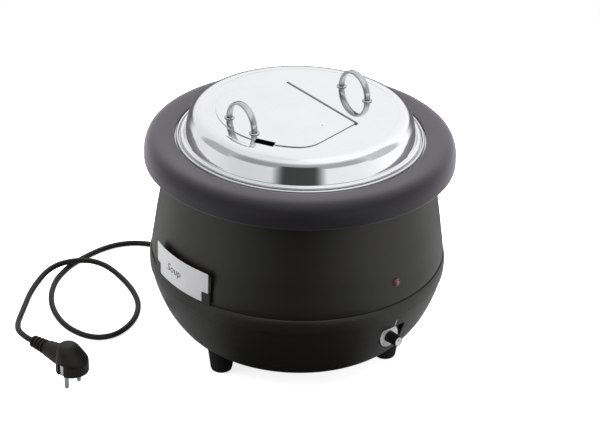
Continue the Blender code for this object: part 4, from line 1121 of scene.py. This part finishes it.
def dial_and_knob(silver, black, ink, white):
    """Silver dial with ticks and figures, a fluted knob, its cap and the white mark above the pocket."""
    axis = along_x((0, 0, KNOB_Z))
    dial = [(0.0034, 0.1533), (0.0123, 0.1533), (0.0127, 0.15315), (0.0128, 0.1528), (0.0128, 0.1521),
            (0.0034, 0.1521)]
    piece("dial_face", turned_mesh(dial, 96), silver, "knob", ["dial_ring"], axis)
    face = 0.1533
    ticks = []
    for index in range(28):
        turn = radians(-45 + 270 * index / 27)
        inner = 0.011 if index % 3 == 0 else 0.0115
        bar = box_mesh((inner, -0.00011, 0.0), (0.0122, 0.00011, 0.00006))
        ticks.append(moved(bar, spin(turn)))
    for index in range(10):
        turn = radians(-45 + 270 * index / 9)
        digit = glyphs(str(index), 0.0021, 0.00006)
        spot = spin(turn) @ at(0.0098, 0, 0.00003)
        ticks.append(moved(digit, spot @ spin(-pi / 2)))
    mark_place = axis @ at(0, 0, face + 0.00002)
    piece("dial_marks", joined(ticks), ink, "knob", (), mark_place)

    seat = 0.1682 - 0.0008
    bore_end = 0.16 + GAP
    low, high = (0.0056, 0.1678), (0.0066, 0.1538)
    outline = [(0, seat), (0.0051, seat), (0.0051, 0.1682), (0.0054, 0.1682), (0.0056, 0.168)]
    outline += [tuple(a + (b - a) * step / 14 for a, b in zip(low, high)) for step in range(15)]
    outline += [(0.0066, 0.1536), (0.0034, 0.1536), (0.0034, bore_end), (0, bore_end)]

    def flutes(angle, radius, z):
        if 0.1545 < z < 0.1672 and radius > 0.005:
            return radius - 0.00022 * (0.5 + 0.5 * cos(24 * angle))
        return radius

    piece("knob_grip", turned_mesh(outline, 192, flutes), black, "knob", ["control_knob"],
          axis, 42.0)
    cap = [(0, 0.16835), (0.0036, 0.16835), (0.004, 0.1686), (0.0044, 0.1686), (0.0048, 0.1683),
           (0.0048, seat + GAP), (0, seat + GAP)]
    piece("knob_face", turned_mesh(cap, 64), silver, "knob", ["knob_cap"], axis)
    line = box_mesh((-0.0034, -0.00028, 0.16836), (-0.0004, 0.00028, 0.1685), 0.00005)
    piece("knob_pointer", line, ink, "knob", (), axis)
    slope = atan2(0.0038, 0.013)
    place = at(0.1622, 0, 0.0962) @ spin(slope, "Y")
    strip = box_mesh((0.0, -0.0007, -0.0042), (0.0004, 0.0007, 0.0042), 0.0002, 3)
    piece("position_mark", strip, white, "base", ["index_mark"], place)


def lamp(red):
    """Domed lens with a thin flange."""
    axis = along_x((0, 0, LAMP_Z))
    dome = smooth([(0.0, 0.1626), (0.001, 0.16255), (0.0021, 0.1622), (0.003, 0.1616), (0.0035, 0.1609)], 5)
    lens = dome + [(0.0037, 0.1602), (0.0037, 0.1566), (0, 0.1566)]
    piece("lamp_lens", turned_mesh(lens, 48), red, "base", ["pilot_lens"], axis)
    bezel = [(0.0039, 0.1602), (0.004, 0.1607), (0.0044, 0.1608), (0.0048, 0.1605), (0.005, 0.16005),
             (0.0039, 0.16005)]
    piece("lamp_bezel", turned_mesh(bezel, 48), red, "base", (), axis)


def label(white, ink):
    """Card with rounded corners and one generic word, bent round the casing."""
    half = radians(16.0) * LABEL_R
    low, high = 0.1219, 0.158
    corner = 0.0016
    outline = []
    for cx, cz, start in ((half - corner, high - corner, 0), (-half + corner, high - corner, 90),
                          (-half + corner, low + corner, 180), (half - corner, low + corner, 270)):
        outline += arc((cx, cz), corner, start, start + 90, 6)
    build = opened(extruded_mesh(outline, 0.0, 0.0006))
    columns = 48
    for index in range(1, columns):
        x = -half + 2 * half * index / columns
        geometry = list(build.verts) + list(build.edges) + list(build.faces)
        bmesh.ops.bisect_plane(build, geom=geometry, plane_co=(x, 0, 0), plane_no=(1, 0, 0))
    wrap(build.verts, 0.1642)
    piece("name_card", done(build, "card"), white, "card", ["label_card"])
    word = glyphs("Soup", 0.0125, 0.00012, 0.18)
    word = moved(word, at(-0.008, 0.14, 0.0))
    build = opened(word)
    bmesh.ops.triangulate(build, faces=build.faces)
    wrap(build.verts, 0.16484)
    piece("name_card_word", done(build, "", word), ink, "card", ())


def wrap(vertices, radius):
    """Bend flat (x along, y up, z out) points round the kettle at the label's place."""
    for vertex in vertices:
        angle = radians(LABEL_ANGLE) + vertex.co.x / LABEL_R
        reach = radius + vertex.co.z
        vertex.co = (reach * cos(angle), reach * sin(angle), vertex.co.y)


def dress(names, finish):
    """Give CAD nodes that stay as they are their procedural material."""
    for name in names:
        mesh = frame["nodes"][name].data
        mesh.materials.clear()
        mesh.materials.append(finish)


# ---------------------------------------------------------------- assembly

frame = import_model()
studio()

cord_rubber = moulded("soft_black_cord", (0.0085, 0.0078, 0.0066), (0.4, 0.52), 900.0, 0.00004, 0.26)
cord, cord_start = mains_lead(cord_rubber)

black = moulded("black_plastic", (0.009, 0.009, 0.009), (0.3, 0.42))
tyre_rubber = moulded("foot_rubber", (0.01, 0.01, 0.01), (0.55, 0.72), 700.0, 0.00008, 0.3)
nylon = moulded("cream_nylon", (0.62, 0.59, 0.5), (0.4, 0.52))
mirror = mirror_steel()
handle_steel = mirror_steel("handle_steel", (0.5, 0.505, 0.52), (0.04, 0.09), 0.00003)
hinge_steel = turned_steel("hinge_steel", (0.3, 0.3, 0.31), (0.3, 0.45))
interior_steel = spun_steel()
hardware = turned_steel()
dark_steel = turned_steel("dark_rivet_steel", (0.2, 0.2, 0.21))
brass = turned_steel("brass", (0.66, 0.5, 0.24), (0.25, 0.42))
coating = coated_metal()
silver = silver_dial()
white = card_white()
ink = moulded("printed_ink", (0.012, 0.011, 0.012), (0.45, 0.6), 2000.0, 0.00001, 0.3)

strain_relief(cord_rubber)
plug_pieces(cord_rubber, hardware)
collar(grained_plastic())
casing(coating)
bowl(coating)
bottom_plate(interior_steel)
rubber_feet(tyre_rubber)
basin(interior_steel)
pot(mirror_steel("pot_steel", (0.68, 0.685, 0.7), (0.07, 0.14), 0.00004))
lid(mirror, dark_steel)
flap(mirror, dark_steel, hinge_steel)
hinge_leaf(hinge_steel)
handle("front", FRONT_HANDLE, LID_TOP_Z + GAP + SHEET, "flap", handle_steel, hardware)
handle("rear", REAR_HANDLE, LID_TOP_Z, "lid", handle_steel, hardware)
dial_and_knob(silver, black, ink, white)
lamp(lamp_red())
label(white, ink)

dress(["label_holder", "holder_stud_left", "holder_stud_right", "gland_nut"], black)
dress(["heater_clamp", "clamp_bolt", "thermostat_shaft"], hardware)
dress([kind + label for kind in ("foot_screw_", "foot_nut_") for label in FOOT_ANGLES], hardware)
dress(["heating_element"], tinted_sheath())
dress(["thermal_cutout"], brass)
dress(["thermostat_body", "pilot_lamp_body", "terminal_block"], nylon)
